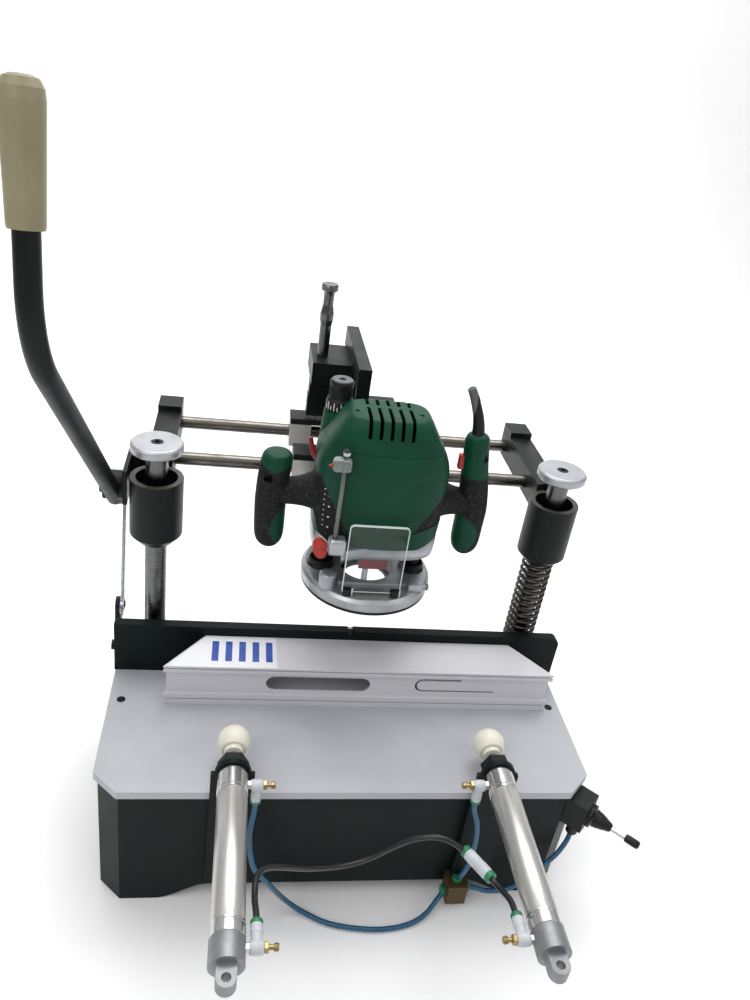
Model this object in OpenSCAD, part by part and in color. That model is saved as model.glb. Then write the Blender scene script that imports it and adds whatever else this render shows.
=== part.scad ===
// Duplicating router: a bench copy milling machine for window and door profiles.
// Origin on the bench, midway between the guide posts. +X right, +Y to the back, +Z up.

/* [Table and cabinet] */
// Width of the table plate
table_w = 560; // [500:1:640]
// From the guide post line to the table's front edge
table_front = 223; // [200:1:260]
// From the guide post line to the table's back edge
table_back = 67; // [50:1:90]
// Height of the table top above the bench
table_h = 180; // [150:1:220]
// Thickness of the table plate
table_t = 10; // [8:0.5:14]
// Chamfer on the table's front corners
table_chamfer = 27; // [15:1:40]
// Sheet thickness of the cabinet
sheet_t = 3; // [2:0.5:5]
// How far the cabinet stands inside the table's edge
cabinet_inset = 4; // [2:1:10]
// Height of the arch under the front panel
arch_h = 24; // [10:1:40]
// From the middle to where the arch meets each foot
arch_half = 212; // [170:1:225]
// Width of the S-shaped rise beside each foot
arch_rise = 60; // [30:1:90]
// Width of the bolting flange inside each cabinet side
flange_w = 36; // [25:1:50]
// Diameter of the bench bolt holes
bench_hole_d = 9; // [6:0.5:13]
// Front to back distance of the bench bolt holes
bench_hole_dy = 150; // [120:1:170]

/* [Fence] */
// How far the fence stands out past each end of the table
fence_over = 1; // [0:0.5:4]
// Height of the fence above the table
fence_h = 70; // [50:1:72]
// Thickness of the fence
fence_t = 12; // [8:1:16]
// From the guide post line to the fence's front face
fence_face = 33; // [30:1:45]
// Corner radius at the fence's right end
fence_r = 10; // [4:1:20]

/* [Guide posts] */
// From each end of the table to its guide post
post_inset = 43.5; // [42:0.5:48]
// Diameter of the guide posts
post_d = 25; // [20:0.5:28]
// Height of the post caps' tops above the bench
cap_top = 480; // [475:1:520]
// Diameter of the post caps
cap_d = 59; // [46:1:64]
// Thickness of the post caps
cap_t = 12; // [10:1:16]
// Diameter of the stud under each post
stud_d = 16; // [12:1:18]

/* [Yoke] */
// Outside diameter of the bearing housings
housing_d = 60; // [54:1:64]
// Height of the bearing housings
housing_h = 84; // [80:1:90]
// Height of the housings' lower ends above the bench
housing_z = 352; // [345:1:356]
// Outside diameter of the post bushes
bush_d = 32; // [31:0.5:36]
// Length of each post bush
bush_len = 25; // [15:1:30]
// Width of the yoke's side arms
arm_w = 30; // [24:1:34]
// Height of the yoke's side arms
arm_h = 36; // [30:1:40]
// From the guide post line to the arms' back ends
arm_back = 194; // [192:1:220]
// Diameter of the cross rods
rod_d = 16; // [12:0.5:18]
// Height of the cross rods above the bench
rod_z = 424; // [420:1:428]
// From the guide post line to the front cross rod
rod_front_y = 72; // [72:1:76]
// From the guide post line to the back cross rod
rod_back_y = 175; // [170:1:176]
// Travel of the yoke on its posts
lift_stroke = 50; // [30:1:50]

/* [Lift spring] */
// Outside diameter of the lift spring
spring_d = 40; // [36:0.5:46]
// Wire diameter of the lift spring
spring_wire = 4.5; // [3:0.1:5]
// Number of turns of the lift spring
spring_turns = 18; // [12:1:19]

/* [Lever] */
// Diameter of the lever tube
lever_d = 20; // [16:0.5:22]
// From the pivot to the lever's link pin
lever_tail = 53; // [50:1:60]
// From the lever's foot to the corner of its bend
lever_reach = 361; // [300:1:380]
// Radius of the lever's bend
lever_bend_r = 95; // [80:1:120]
// From the corner of the lever's bend to its end
lever_top = 172; // [150:1:190]
// Length of the grip
grip_len = 99; // [90:1:120]
// Diameter of the grip near its top
grip_d = 32; // [28:0.5:38]
// Diameter of the lever's pivot pin
pivot_d = 12; // [10:0.5:14]

/* [Saddle and depth slide] */
// Distance between the saddle's bearings along the cross rods
saddle_span = 160; // [150:1:170]
// Length of each cross rod bearing
bearing_len = 28; // [20:1:32]
// Section of the cross rod bearings
bearing_w = 32; // [26:1:32]
// Distance between the depth rods
depth_span = 54; // [50:1:58]
// Diameter of the depth rods
depth_d = 12; // [10:0.5:14]
// Forward travel of the router head
depth_forward = 60; // [30:1:60]
// Backward travel of the router head
depth_back = 8; // [4:1:8]

/* [Router] */
// Distance of the router's spindle right of the middle
spindle_x = 12.5; // [8:0.5:16]
// Distance of the router's spindle in front of the guide post line
spindle_front = 20; // [18:0.5:22]
// Diameter of the router's base
base_d = 156; // [150:1:160]
// Height of the base's lower face above the bench
base_z = 330; // [328:1:334]
// Thickness of the router's base
base_t = 14; // [10:1:16]
// Thickness of the sole plate under the base
sole_t = 4; // [2:0.5:5]
// Distance between the plunge columns
column_span = 110; // [106:1:112]
// Diameter of the plunge columns
column_d = 18; // [14:0.5:20]
// Width of the motor housing
motor_w = 149; // [146:1:152]
// Depth of the motor housing
motor_depth = 104; // [98:1:104]
// Height of the motor housing's top above the bench
motor_top = 554; // [550:1:560]
// Wall of the motor housing
motor_wall = 4; // [2.5:0.5:5]
// Diameter of the cutter
cutter_d = 8; // [3:0.5:9]

/* [Clamps] */
// Distance between the two clamp cylinders
clamp_span = 289; // [270:1:300]
// Sideways offset of the pair of clamp cylinders
clamp_shift = 11; // [8:1:14]
// Height of the clamps above the table
clamp_h = 33; // [30:1:38]
// Outside diameter of the clamp barrels
barrel_d = 31; // [28:0.5:34]
// Length of the clamp barrels with their front covers
barrel_len = 181; // [175:1:190]
// Diameter of the piston rods
piston_d = 10; // [8:0.5:12]
// Diameter of the ball ends
ball_d = 36; // [28:0.5:38]
// Stroke of the clamps
clamp_stroke = 72; // [30:1:72]
// Outside diameter of the air hoses
hose_d = 6; // [4:0.5:6]

/* [Sample profile] */
// Length of the sample profile along its front
profile_len = 476; // [420:1:490]
// Height of the sample profile
profile_h = 58; // [40:1:66]
// Depth of the sample profile
profile_depth = 58; // [50:1:60]
// Wall of the sample profile
profile_wall = 3; // [2:0.5:4]

/* [Hidden] */
$fn = 64;

// Clearances: running fit on a radius, seat between fixed pieces, and space between moving pieces
run = 0.03;
seat = 0.1;
gap = 0.3;
cut = 1;

// Lengths that follow the table's width
post_span = table_w - 2 * post_inset;
fence_len = table_w + 2 * fence_over;

// Colours
dark_green = "#16241f";
table_grey = "#b9bcc6";
steel = "#b8bbbf";
black_steel = "#1b1d1f";
silver = "#c9ccd0";
router_green = "#0f4a37";
rubber_black = "#202224";
red = "#c8202a";
ivory = "#d8d2b8";
beige = "#9c9268";
hose_blue = "#2f6f8a";

module at(p) { translate(p) children(); }
module along_x(h, d) { rotate([0, 90, 0]) cylinder(h = h, d = d, center = true); }
module along_y(h, d) { rotate([90, 0, 0]) cylinder(h = h, d = d, center = true); }
module block(low, high) { translate(low) cube(high - low); }
module sides() { for (s = [-1, 1]) translate([s * post_span / 2, 0, 0]) children(); }

// Cabinet and table

diagonal = sqrt(2) - 1;
function plan(i) = [
    [-table_w / 2 + i, table_back - i], [table_w / 2 - i, table_back - i],
    [table_w / 2 - i, -table_front + table_chamfer + i * diagonal],
    [table_w / 2 - table_chamfer - i * diagonal, -table_front + i],
    [-table_w / 2 + table_chamfer + i * diagonal, -table_front + i],
    [-table_w / 2 + i, -table_front + table_chamfer + i * diagonal]];
table_under = table_h - table_t;
cabinet_wall = cabinet_inset + sheet_t;
arch_steps = 12;
function arch_side(s) = [for (k = [0:arch_steps]) let(t = k / arch_steps)
    [s * (arch_half - arch_rise * t), arch_h * (3 * t * t - 2 * t * t * t)]];
function flip(list) = [for (k = [len(list) - 1:-1:0]) list[k]];
bench_hole_x = table_w / 2 - cabinet_wall - flange_w / 2;
flange_end = 1.5 * bench_hole_d;
flange_len = bench_hole_dy + 2 * flange_end;
screw_x = table_w / 2 - 14;
screw_y = [-85, 42];
fence_bolt_x = [-200, -70, 70, 200];
fence_mid_y = -fence_face + fence_t / 2;
bolt_d = 6;
bolt_depth = 14;
screw_d = 5;
screw_head_d = 10;
screw_head_t = 2.5;

module cabinet() color(dark_green) {
    difference() {
        linear_extrude(table_under) polygon(plan(cabinet_inset));
        translate([0, 0, -cut]) linear_extrude(table_under + 2 * cut) polygon(plan(cabinet_wall));
        translate([0, -table_front + cabinet_wall + cut, 0]) rotate([90, 0, 0]) linear_extrude(cabinet_wall + 2 * cut)
            polygon(concat([[-arch_half, -cut]], arch_side(-1), flip(arch_side(1)), [[arch_half, -cut]]));
    }
    for (s = [-1, 1]) difference() {
        translate([s * bench_hole_x - (flange_w + 2 * seat) / 2, flange_end - flange_len, 0])
            cube([flange_w + 2 * seat, flange_len, sheet_t]);
        for (y = [-bench_hole_dy, 0]) translate([s * bench_hole_x, y, -cut])
            cylinder(h = sheet_t + 2 * cut, d = bench_hole_d);
    }
}

module table_plate() color(table_grey) difference() {
    translate([0, 0, table_under]) linear_extrude(table_t) polygon(plan(0));
    sides() at([0, 0, table_under - cut]) cylinder(h = table_t + 2 * cut, d = stud_d + 2 * seat);
    for (s = [-1, 1], y = screw_y) translate([s * screw_x, y, table_under - cut]) {
        cylinder(h = table_t + 2 * cut, d = screw_d + 2 * seat);
        translate([0, 0, cut + table_t - screw_head_t]) cylinder(h = screw_head_t + cut, d = screw_head_d + 2 * seat);
    }
    for (x = fence_bolt_x) translate([x, fence_mid_y, table_under - cut])
        cylinder(h = table_t + 2 * cut, d = bolt_d + 2 * seat);
}

notch_x = 5;
notch_w = 6;
notch_h = 4;
function arc(c, r, a, b, n = 8) = [for (k = [0:n]) let(t = a + (b - a) * k / n) c + r * [cos(t), sin(t)]];
module fence() color(dark_green) difference() {
    translate([0, -fence_face + fence_t, table_h]) rotate([90, 0, 0]) linear_extrude(fence_t)
        polygon(concat([[-fence_len / 2, 0], [fence_len / 2, 0]],
            arc([fence_len / 2 - fence_r, fence_h - fence_r], fence_r, 0, 90), [[-fence_len / 2, fence_h]]));
    translate([notch_x - notch_w / 2, -fence_face - cut, table_h + fence_h - notch_h])
        cube([notch_w, fence_t + 2 * cut, notch_h + cut]);
    for (x = fence_bolt_x) translate([x, fence_mid_y, table_h - cut])
        cylinder(h = bolt_depth + 2 * cut, d = bolt_d + 2 * seat);
}

// Guide posts with their caps and fasteners

cap_under = cap_top - cap_t;
cap_screw_d = 8;
cap_screw_depth = 20;
cap_head_d = 13;
cap_head_h = 7;
cap_edge = 2.5;
nut_h = 12;
nut_d = 28;
bolt_head_d = 10;
bolt_head_h = 6;
hex_depth = 4;
module guide_posts() color(steel) sides() difference() {
    union() {
        translate([0, 0, table_h]) cylinder(h = cap_under - table_h, d = post_d);
        translate([0, 0, table_under - nut_h]) cylinder(h = nut_h + table_t + cut, d = stud_d);
    }
    translate([0, 0, cap_under - cap_screw_depth]) cylinder(h = cap_screw_depth + cut, d = cap_screw_d + 2 * seat);
}

module post_caps() color(silver) sides() at([0, 0, cap_under]) difference() {
    rotate_extrude() polygon([[0, 0], [cap_d / 2 - cap_edge, 0], [cap_d / 2, cap_edge],
        [cap_d / 2, cap_t - cap_edge], [cap_d / 2 - cap_edge, cap_t], [0, cap_t]]);
    translate([0, 0, -cut]) cylinder(h = cap_t + 2 * cut, d = cap_screw_d + 2 * seat);
    translate([0, 0, cap_t - cap_head_h]) cylinder(h = cap_head_h + cut, d = cap_head_d + 2 * seat);
}

module socket_screw(d, len, head_d, head_h) difference() {
    union() {
        translate([0, 0, -len]) cylinder(h = len + cut / 2, d = d);
        cylinder(h = head_h, d = head_d);
    }
    translate([0, 0, head_h - hex_depth]) cylinder(h = hex_depth + cut, d = head_d / 2, $fn = 6);
}

module base_screws() color(black_steel) {
    sides() difference() {
        translate([0, 0, table_under - nut_h]) cylinder(h = nut_h, d = nut_d, $fn = 6);
        translate([0, 0, table_under - nut_h - cut]) cylinder(h = nut_h + 2 * cut, d = stud_d + 2 * seat);
    }
    sides() at([0, 0, cap_top - cap_head_h])
        socket_screw(cap_screw_d, cap_t - cap_head_h + cap_screw_depth - cut, cap_head_d, cap_head_h);
    for (s = [-1, 1], y = screw_y) translate([s * screw_x, y, table_h - screw_head_t]) {
        translate([0, 0, screw_head_t - table_t]) cylinder(h = table_t - screw_head_t + cut, d = screw_d);
        cylinder(h = screw_head_t, d = screw_head_d);
    }
    for (x = fence_bolt_x) translate([x, fence_mid_y, table_under]) rotate([180, 0, 0])
        socket_screw(bolt_d, table_t + bolt_depth - cut, bolt_head_d, bolt_head_h);
}

// Lift spring: one round wire wound from the table to the right housing

spring_low = table_h + gap;
spring_high = housing_z - gap;
spring_r = (spring_d - spring_wire) / 2;
spring_rings = 8;
spring_sides = 6;
spring_pitch = (spring_high - spring_low - spring_wire) / spring_turns;
function coil(a) = [spring_r * cos(a), spring_r * sin(a), spring_low + spring_wire / 2 + spring_pitch * a / 360];
spring_path = [for (k = [0:spring_turns * spring_rings]) coil(k * 360 / spring_rings)];

function unit(v) = v / norm(v);
function tangent(p, i) = unit(p[min(i + 1, len(p) - 1)] - p[max(i - 1, 0)]);
function side_of(t, up) = unit(cross(t, up));
// Closed tube of flat sides swept along a list of points
module tube(path, d, n, up = [0, 0, 1]) {
    count = len(path);
    rings = [for (i = [0:count - 1]) let(t = tangent(path, i), u = side_of(t, up), w = cross(u, t))
        for (k = [0:n - 1]) path[i] + d / 2 * (cos(360 * k / n) * u + sin(360 * k / n) * w)];
    walls = [for (i = [0:count - 2], k = [0:n - 1]) let(a = i * n + k, b = i * n + (k + 1) % n)
        each [[a, b, b + n], [a, b + n, a + n]]];
    ends = [for (k = [1:n - 2]) each [[0, k + 1, k], [(count - 1) * n, (count - 1) * n + k, (count - 1) * n + k + 1]]];
    polyhedron(concat(rings), concat(walls, ends));
}
module lift_spring() color(steel) translate([post_span / 2, 0, 0]) tube(spring_path, spring_wire, spring_sides);
echo(spring_gap = norm(coil(360) - coil(0)) - spring_wire);

// Yoke: housings, bushes, arms and cross rods

counterbore_d = 46;
counterbore_h = 18;
housing_taper = 12;
housing_foot_d = 38;
arm_x = post_span / 2;
arm_z = rod_z + 2 - arm_h / 2;
arm_start = 24;
arm_block_len = 34;
arm_block_h = 8;
module housing() color(black_steel) difference() {
    rotate_extrude() polygon([[0, housing_z], [housing_foot_d / 2, housing_z],
        [housing_d / 2, housing_z + housing_taper], [housing_d / 2, housing_z + housing_h], [0, housing_z + housing_h]]);
    translate([0, 0, housing_z - cut]) cylinder(h = housing_h + 2 * cut, d = bush_d + 2 * seat);
    translate([0, 0, housing_z + housing_h - counterbore_h]) cylinder(h = counterbore_h + cut, d = counterbore_d);
}
module housing_left() translate([-post_span / 2, 0, 0]) housing();
module housing_right() translate([post_span / 2, 0, 0]) housing();

bush_z = [housing_z + 1, housing_z + housing_h - counterbore_h - bush_len - 1];
module post_bushes() color("#a67c3d") sides() for (z = bush_z) difference() {
    translate([0, 0, z]) cylinder(h = bush_len, d = bush_d);
    translate([0, 0, z - cut]) cylinder(h = bush_len + 2 * cut, d = post_d + 2 * run);
}

module arm() color(black_steel) difference() {
    union() {
        block([-arm_w / 2, arm_start, arm_z], [arm_w / 2, arm_back, arm_z + arm_h]);
        block([-arm_w / 2, arm_back - arm_block_len, arm_z], [arm_w / 2, arm_back, arm_z + arm_h + arm_block_h]);
    }
    translate([0, 0, arm_z - cut]) cylinder(h = arm_h + 2 * cut, d = housing_d + 2 * seat);
    for (y = [rod_front_y, rod_back_y]) translate([0, y, rod_z]) along_x(arm_w + 2 * cut, rod_d + 2 * seat);
}
module arm_left() translate([-arm_x, 0, 0]) arm();
module arm_right() translate([arm_x, 0, 0]) arm();

module cross_rods() color(steel) for (y = [rod_front_y, rod_back_y])
    translate([0, y, rod_z]) along_x(post_span + arm_w - 2, rod_d);

// Lever, its pivot on the left arm and the pull link to the table

pivot_y = 12;
pivot_z = 416;
lever_x = -post_span / 2 - 48.5;
lever_angle = 44;
lever_drop = 13;
lever_heel = 10;
lever_run = [-7, -83, 88];
lever_rise = [-1, 15, 96];
boss_d = 34;
boss_w = 22;
bracket_t = 5;
bracket_x = lever_x + boss_w / 2 + gap;
bracket_back = 64;
bracket_web = 28;
bracket_r = 17;
bracket_low = pivot_z - bracket_r;
bracket_high = arm_z + arm_h - 2;
pin_head_d = 20;
pin_head_t = 4;
tail_y = pivot_y + lever_tail * cos(lever_angle);
tail_z = pivot_z - lever_tail * sin(lever_angle);
tang_t = 6;
tang_off = 2.2;
tang_w = 20;
link_t = 4;
link_w = 16;
link_pin_d = 8;
link_x = lever_x + tang_off + tang_t / 2 + gap + link_t / 2;
anchor_y = 20;
anchor_z = table_h + 60;
anchor_w = 20;
anchor_low = table_h - 40;
anchor_t = 6;
anchor_x = -table_w / 2 - anchor_t / 2;
anchor_pin_over = 2;
anchor_screw_d = 13;
anchor_screw_t = 6;

module lever_bracket() color(black_steel) {
    difference() {
        union() {
            block([bracket_x, pivot_y - bracket_r, bracket_low], [bracket_x + bracket_t, bracket_back, bracket_high]);
            block([bracket_x + bracket_t - cut, bracket_back - bracket_web, arm_z + 2],
                [-arm_x - arm_w / 2, bracket_back, bracket_high]);
        }
        translate([bracket_x, pivot_y, pivot_z]) along_x(6 * bracket_t, pivot_d + 2 * seat);
        translate([-arm_x, 0, bracket_low - cut]) cylinder(h = arm_h + bracket_r + 2 * cut, d = housing_d + 2 * gap);
    }
    pin_len = boss_w + gap + bracket_t + gap;
    translate([bracket_x + bracket_t - pin_len / 2, pivot_y, pivot_z]) along_x(pin_len, pivot_d);
    translate([bracket_x + bracket_t - pin_len - pin_head_t / 2, pivot_y, pivot_z]) along_x(pin_head_t, pin_head_d);
}

// The lever runs straight up from under its pivot, bends through an arc and ends upright in the grip
run_dir = unit(lever_run);
rise_dir = unit(lever_rise);
bend_turn = acos(run_dir * rise_dir);
bend_tangent = lever_bend_r * tan(bend_turn / 2);
lever_foot = [0, 0, -lever_drop];
lever_corner = lever_foot + lever_reach * run_dir;
// Directions from the bend's centre to its start, along the lever there, and square to both
bend_in = unit(run_dir * (run_dir * rise_dir) - rise_dir);
bend_normal = cross(bend_in, run_dir);
bend_centre = lever_corner - bend_tangent * run_dir - lever_bend_r * bend_in;
module aim(v) rotate([0, acos(v[2] / norm(v)), atan2(v[1], v[0])]) children();
module lever_tube() color(black_steel) translate([lever_x, pivot_y, pivot_z]) difference() {
    union() {
        translate(lever_foot - lever_heel * run_dir) aim(run_dir)
            cylinder(h = lever_heel + lever_reach - bend_tangent + cut, d = lever_d - 2 * run);
        translate(bend_centre) rotate([atan2(run_dir[2], bend_normal[2]), -asin(bend_in[2]), atan2(bend_in[1], bend_in[0])])
            rotate_extrude(angle = bend_turn) translate([lever_bend_r, 0]) circle(d = lever_d);
        translate(lever_corner + (bend_tangent - cut) * rise_dir) aim(rise_dir)
            cylinder(h = lever_top - bend_tangent + cut, d = lever_d - 2 * run);
        along_x(boss_w, boss_d);
        translate([tang_off, 0, 0]) rotate([-lever_angle, 0, 0]) {
            block([-tang_t / 2, lever_tail * 0.2, -tang_w / 2], [tang_t / 2, lever_tail, tang_w / 2]);
            translate([0, lever_tail, 0]) along_x(tang_t, tang_w);
            translate([tang_t / 2 + (link_t + 2 * gap) / 2, lever_tail, 0]) along_x(link_t + 2 * gap, link_pin_d);
        }
    }
    along_x(boss_w + 2 * cut, pivot_d + 2 * run);
}

grip_over = 12;
grip_start = lever_top + grip_over - grip_len;
module lever_grip() color(beige) translate([lever_x, pivot_y, pivot_z]) translate(lever_corner + grip_start * rise_dir)
    aim(rise_dir) difference() {
        rotate_extrude() polygon([[0, 0], [grip_d * 0.41, 0], [grip_d * 0.43, 3], [grip_d * 0.47, grip_len * 0.5],
            [grip_d * 0.5, grip_len * 0.84], [grip_d * 0.48, grip_len * 0.92], [grip_d * 0.38, grip_len * 0.98],
            [grip_d * 0.24, grip_len], [0, grip_len]]);
        translate([0, 0, -cut]) cylinder(h = lever_top - grip_start + 2 * cut, d = lever_d + 2 * seat);
    }

// The link leans a little more than the line of its pins, so that its lower eye clears the anchor pin all the way
link_len = norm([anchor_y - tail_y, anchor_z - tail_z]) - 0.4;
link_lean = 13.36;
link_eye_d = 15.4;
link_eye_w = 26;
module pull_link() color(steel) translate([link_x, tail_y, tail_z]) rotate([-link_lean, 0, 0]) mirror([0, 0, 1])
    difference() {
        union() {
            block([-link_t / 2, -link_w / 2, 0], [link_t / 2, link_w / 2, link_len]);
            along_x(link_t, link_w);
            translate([0, 0, link_len]) along_x(link_t, link_eye_w);
        }
        along_x(link_t + 2 * cut, link_pin_d + 2 * run);
        translate([0, 0, link_len]) along_x(link_t + 2 * cut, link_eye_d);
    }

module link_anchor() color(black_steel) {
    block([anchor_x - anchor_t / 2, anchor_y - anchor_w / 2, anchor_low],
        [anchor_x + anchor_t / 2, anchor_y + anchor_w / 2, anchor_z]);
    translate([anchor_x, anchor_y, anchor_z]) along_x(anchor_t, anchor_w);
    translate([(anchor_x + link_x + link_t / 2) / 2, anchor_y, anchor_z])
        along_x(link_x + link_t / 2 - anchor_x + anchor_pin_over, link_pin_d);
    translate([anchor_x - (anchor_t + anchor_screw_t) / 2, anchor_y, table_h - table_t / 2]) along_x(anchor_screw_t, anchor_screw_d);
}

// Saddle on the cross rods, with bearings for the depth rods

saddle_top = rod_z + bearing_w / 2 + 8;
saddle_neck = 106;
depth_z = saddle_top + 20;
depth_bearing_len = 40;
depth_bearing_y = rod_front_y - bearing_w / 2 + 2;
depth_bearing_w = 28;
module saddle_frame() color(black_steel) {
    low = rod_z + bearing_w / 2;
    half = (saddle_span + bearing_len) / 2;
    for (y = [rod_front_y, rod_back_y]) block([spindle_x - half, y - bearing_w / 2, low],
        [spindle_x + half, y + bearing_w / 2, saddle_top]);
    block([spindle_x - saddle_neck / 2, rod_front_y, low], [spindle_x + saddle_neck / 2, rod_back_y, saddle_top]);
}
module rod_bearings() color(silver) {
    for (s = [-1, 1], y = [rod_front_y, rod_back_y]) translate([spindle_x + s * saddle_span / 2, y, rod_z]) difference() {
        translate([-bearing_len / 2, -bearing_w / 2, -bearing_w / 2]) cube([bearing_len, bearing_w, bearing_w]);
        along_x(bearing_len + 2 * cut, rod_d + 2 * run);
    }
    for (s = [-1, 1]) translate([spindle_x + s * depth_span / 2, depth_bearing_y + depth_bearing_len / 2, depth_z])
        difference() {
            translate([-depth_bearing_w / 2, -depth_bearing_len / 2, saddle_top - depth_z])
                cube([depth_bearing_w, depth_bearing_len, depth_z - saddle_top + depth_bearing_w / 2]);
            along_y(depth_bearing_len + 2 * cut, depth_d + 2 * run);
        }
}

// Router head on the depth rods

spindle_y = -spindle_front;
carrier_t = 10;
carrier_front = depth_bearing_y - depth_back - 2 - carrier_t;
carrier_w = 90;
carrier_high = depth_z + 16;
carrier_foot = 8;
base_top = base_z + base_t;
tie_t = 18;
tie_front = depth_bearing_y + depth_bearing_len + depth_forward + 2;
tie_low = depth_z - 14;
tie_high = depth_z + 14;
stylus_off = 61;
stylus_x = spindle_x - stylus_off;
stylus_y = tie_front + tie_t / 2;
stylus_d = 12;
stylus_rise = 93;
stylus_tip = 4;
tie_edge = 14;
holder_top = 535;
holder_h = 30;
holder_low = [stylus_x - 13.5, tie_front - 20, holder_top - holder_h];
holder_high = [spindle_x - 24.5, tie_front + 55, holder_top];
rail_w = 15;
rail_x = holder_high[0];
rail_top = holder_top + 21;
rail_h = 26;
rail_front = tie_front - 86;
rail_back = tie_front + 76;
rail_plate_t = 8;
rail_plate_low = rail_top - 51;
module depth_rods() color(steel) for (s = [-1, 1])
    translate([spindle_x + s * depth_span / 2, (carrier_front + tie_front + tie_t) / 2, depth_z])
        along_y(tie_front + tie_t - carrier_front - 2, depth_d);

module rod_holes(y, t) for (s = [-1, 1]) translate([spindle_x + s * depth_span / 2, y, depth_z])
    along_y(t + 2 * cut, depth_d + 2 * seat);

module carrier_plate() color(black_steel) difference() {
    union() {
        block([spindle_x - carrier_w / 2, carrier_front, base_top],
            [spindle_x + carrier_w / 2, carrier_front + carrier_t, carrier_high]);
        block([spindle_x - carrier_w / 4, carrier_front - carrier_foot, base_top],
            [spindle_x + carrier_w / 4, carrier_front + cut, base_top + 6]);
    }
    rod_holes(carrier_front + carrier_t / 2, carrier_t);
}

// Behind the router the tie block carries a holder for the stylus, beside a rail that runs front to back
module tie_block() color(black_steel) difference() {
    union() {
        block([stylus_x - tie_edge, tie_front, tie_low], [spindle_x + depth_span / 2 + tie_edge, tie_front + tie_t, tie_high]);
        block([stylus_x - tie_edge + cut, tie_front, tie_low], [stylus_x + tie_edge, tie_front + tie_t, holder_top - cut]);
        block(holder_low, holder_high);
        block([rail_x - cut, rail_front, rail_top - rail_h], [rail_x + rail_w, rail_back, rail_top]);
        block([rail_x - cut, rail_front, rail_plate_low], [rail_x + rail_w, rail_front + rail_plate_t, rail_top - cut]);
        block([rail_x - cut, tie_front, tie_low + cut], [rail_x + rail_w, tie_front + tie_t, rail_top - cut]);
    }
    rod_holes(tie_front + tie_t / 2, tie_t);
    translate([stylus_x, stylus_y, tie_low - cut]) cylinder(h = holder_top - tie_low + 2 * cut, d = stylus_d + 2 * run);
}

stylus_head_d = 21;
stylus_bulge_d = 17;
stylus_shank_d = 14.2;
stylus_neck_d = 13;
function up(f) = holder_top + stylus_rise * f;
module stylus_pin() color("#6f6f6b") translate([stylus_x, stylus_y, 0]) rotate_extrude()
    polygon([[0, tie_low - stylus_tip], [stylus_d / 5, tie_low - stylus_tip], [stylus_d / 2, tie_low + stylus_tip],
        [stylus_d / 2, holder_top + gap], [stylus_shank_d / 2, holder_top + gap], [stylus_shank_d / 2, up(0.44)],
        [stylus_bulge_d / 2, up(0.52)], [stylus_bulge_d / 2, up(0.6)], [stylus_neck_d / 2, up(0.72)],
        [stylus_neck_d / 2, up(0.85)], [stylus_shank_d / 2, up(0.89)], [stylus_head_d / 2, up(0.92)],
        [stylus_head_d / 2, up(0.98)], [stylus_head_d / 2 - 1, up(1)], [0, up(1)]]);

base_hole_d = 62;
rim_h = 4;
module router_base() color(silver) translate([spindle_x, spindle_y, base_z]) difference() {
    union() {
        rotate_extrude() polygon([[0, 0], [base_d / 2, 0], [base_d / 2, base_t - rim_h], [base_d / 2 - rim_h, base_t], [0, base_t]]);
    }
    translate([0, 0, -cut]) cylinder(h = base_t + 2 * cut, d = base_hole_d);
    for (s = [-1, 1]) translate([s * column_span / 2, 0, base_t / 2]) cylinder(h = base_t, d = column_d + 2 * seat);
}
module sole_plate() color(rubber_black) translate([spindle_x, spindle_y, base_z - sole_t]) difference() {
    cylinder(h = sole_t, d = base_d - 2);
    translate([0, 0, -cut]) cylinder(h = sole_t + 2 * cut, d = base_hole_d - 10);
}

plunge_down = 23;
collar_gap = 34;
collar_z = base_top + collar_gap;
collar_t = 20;
column_rise = 72;
column_high = collar_z + collar_t + column_rise;
module plunge_columns() color(black_steel) for (s = [-1, 1])
    translate([spindle_x + s * column_span / 2, spindle_y, base_z + base_t / 2])
        cylinder(h = column_high - base_z - base_t / 2, d = column_d);

shield_y = spindle_y - 60;
shield_w = 67;
shield_h = 92;
shield_t = 3;
module chip_shield() color([0.85, 0.9, 0.92, 0.35]) {
    block([spindle_x - 2 - shield_w / 2, shield_y - shield_t, base_top + 4],
        [spindle_x - 2 + shield_w / 2, shield_y, base_top + shield_h]);
    for (s = [-1, 1]) translate([spindle_x - 2 + s * (shield_w / 2 - 6), shield_y, base_top])
        translate([-4, -shield_t - 3, 0]) cube([8, shield_t + 8, 10]);
}

turret_x = spindle_x - 49;
turret_y = spindle_y - 49;
turret_d = 17;
turret_h = 18;
module stop_turret() color(silver) translate([turret_x, turret_y, base_top]) rotate_extrude()
    polygon([[0, 0], [turret_d / 2, 0], [turret_d / 2, turret_h - 2], [turret_d / 2 - 2, turret_h], [0, turret_h]]);

// Plunging motor unit

collar_w = motor_w - 10;
collar_depth = 96;
collar_chamfer = 40;
stator_d = 76;
rotor_d = 44;
shaft_d = 12;
fan_d = 66;
motor_z = collar_z + collar_t;
function oct(hw, hd, c) = [[-hw + c, -hd], [hw - c, -hd], [hw, -hd + c], [hw, hd - c], [hw - c, hd], [-hw + c, hd],
    [-hw, hd - c], [-hw, -hd + c]];
// Rounded rectangle |x/hw|^n + |y/hd|^n = 1
round_n = 3.6;
round_points = 32;
function bow(c) = sign(c) * pow(abs(c), 2 / round_n);
function rounded(hw, hd) = [for (k = [0:round_points - 1]) let(a = 360 * (k + 0.5) / round_points) [hw * bow(cos(a)), hd * bow(sin(a))]];
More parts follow.
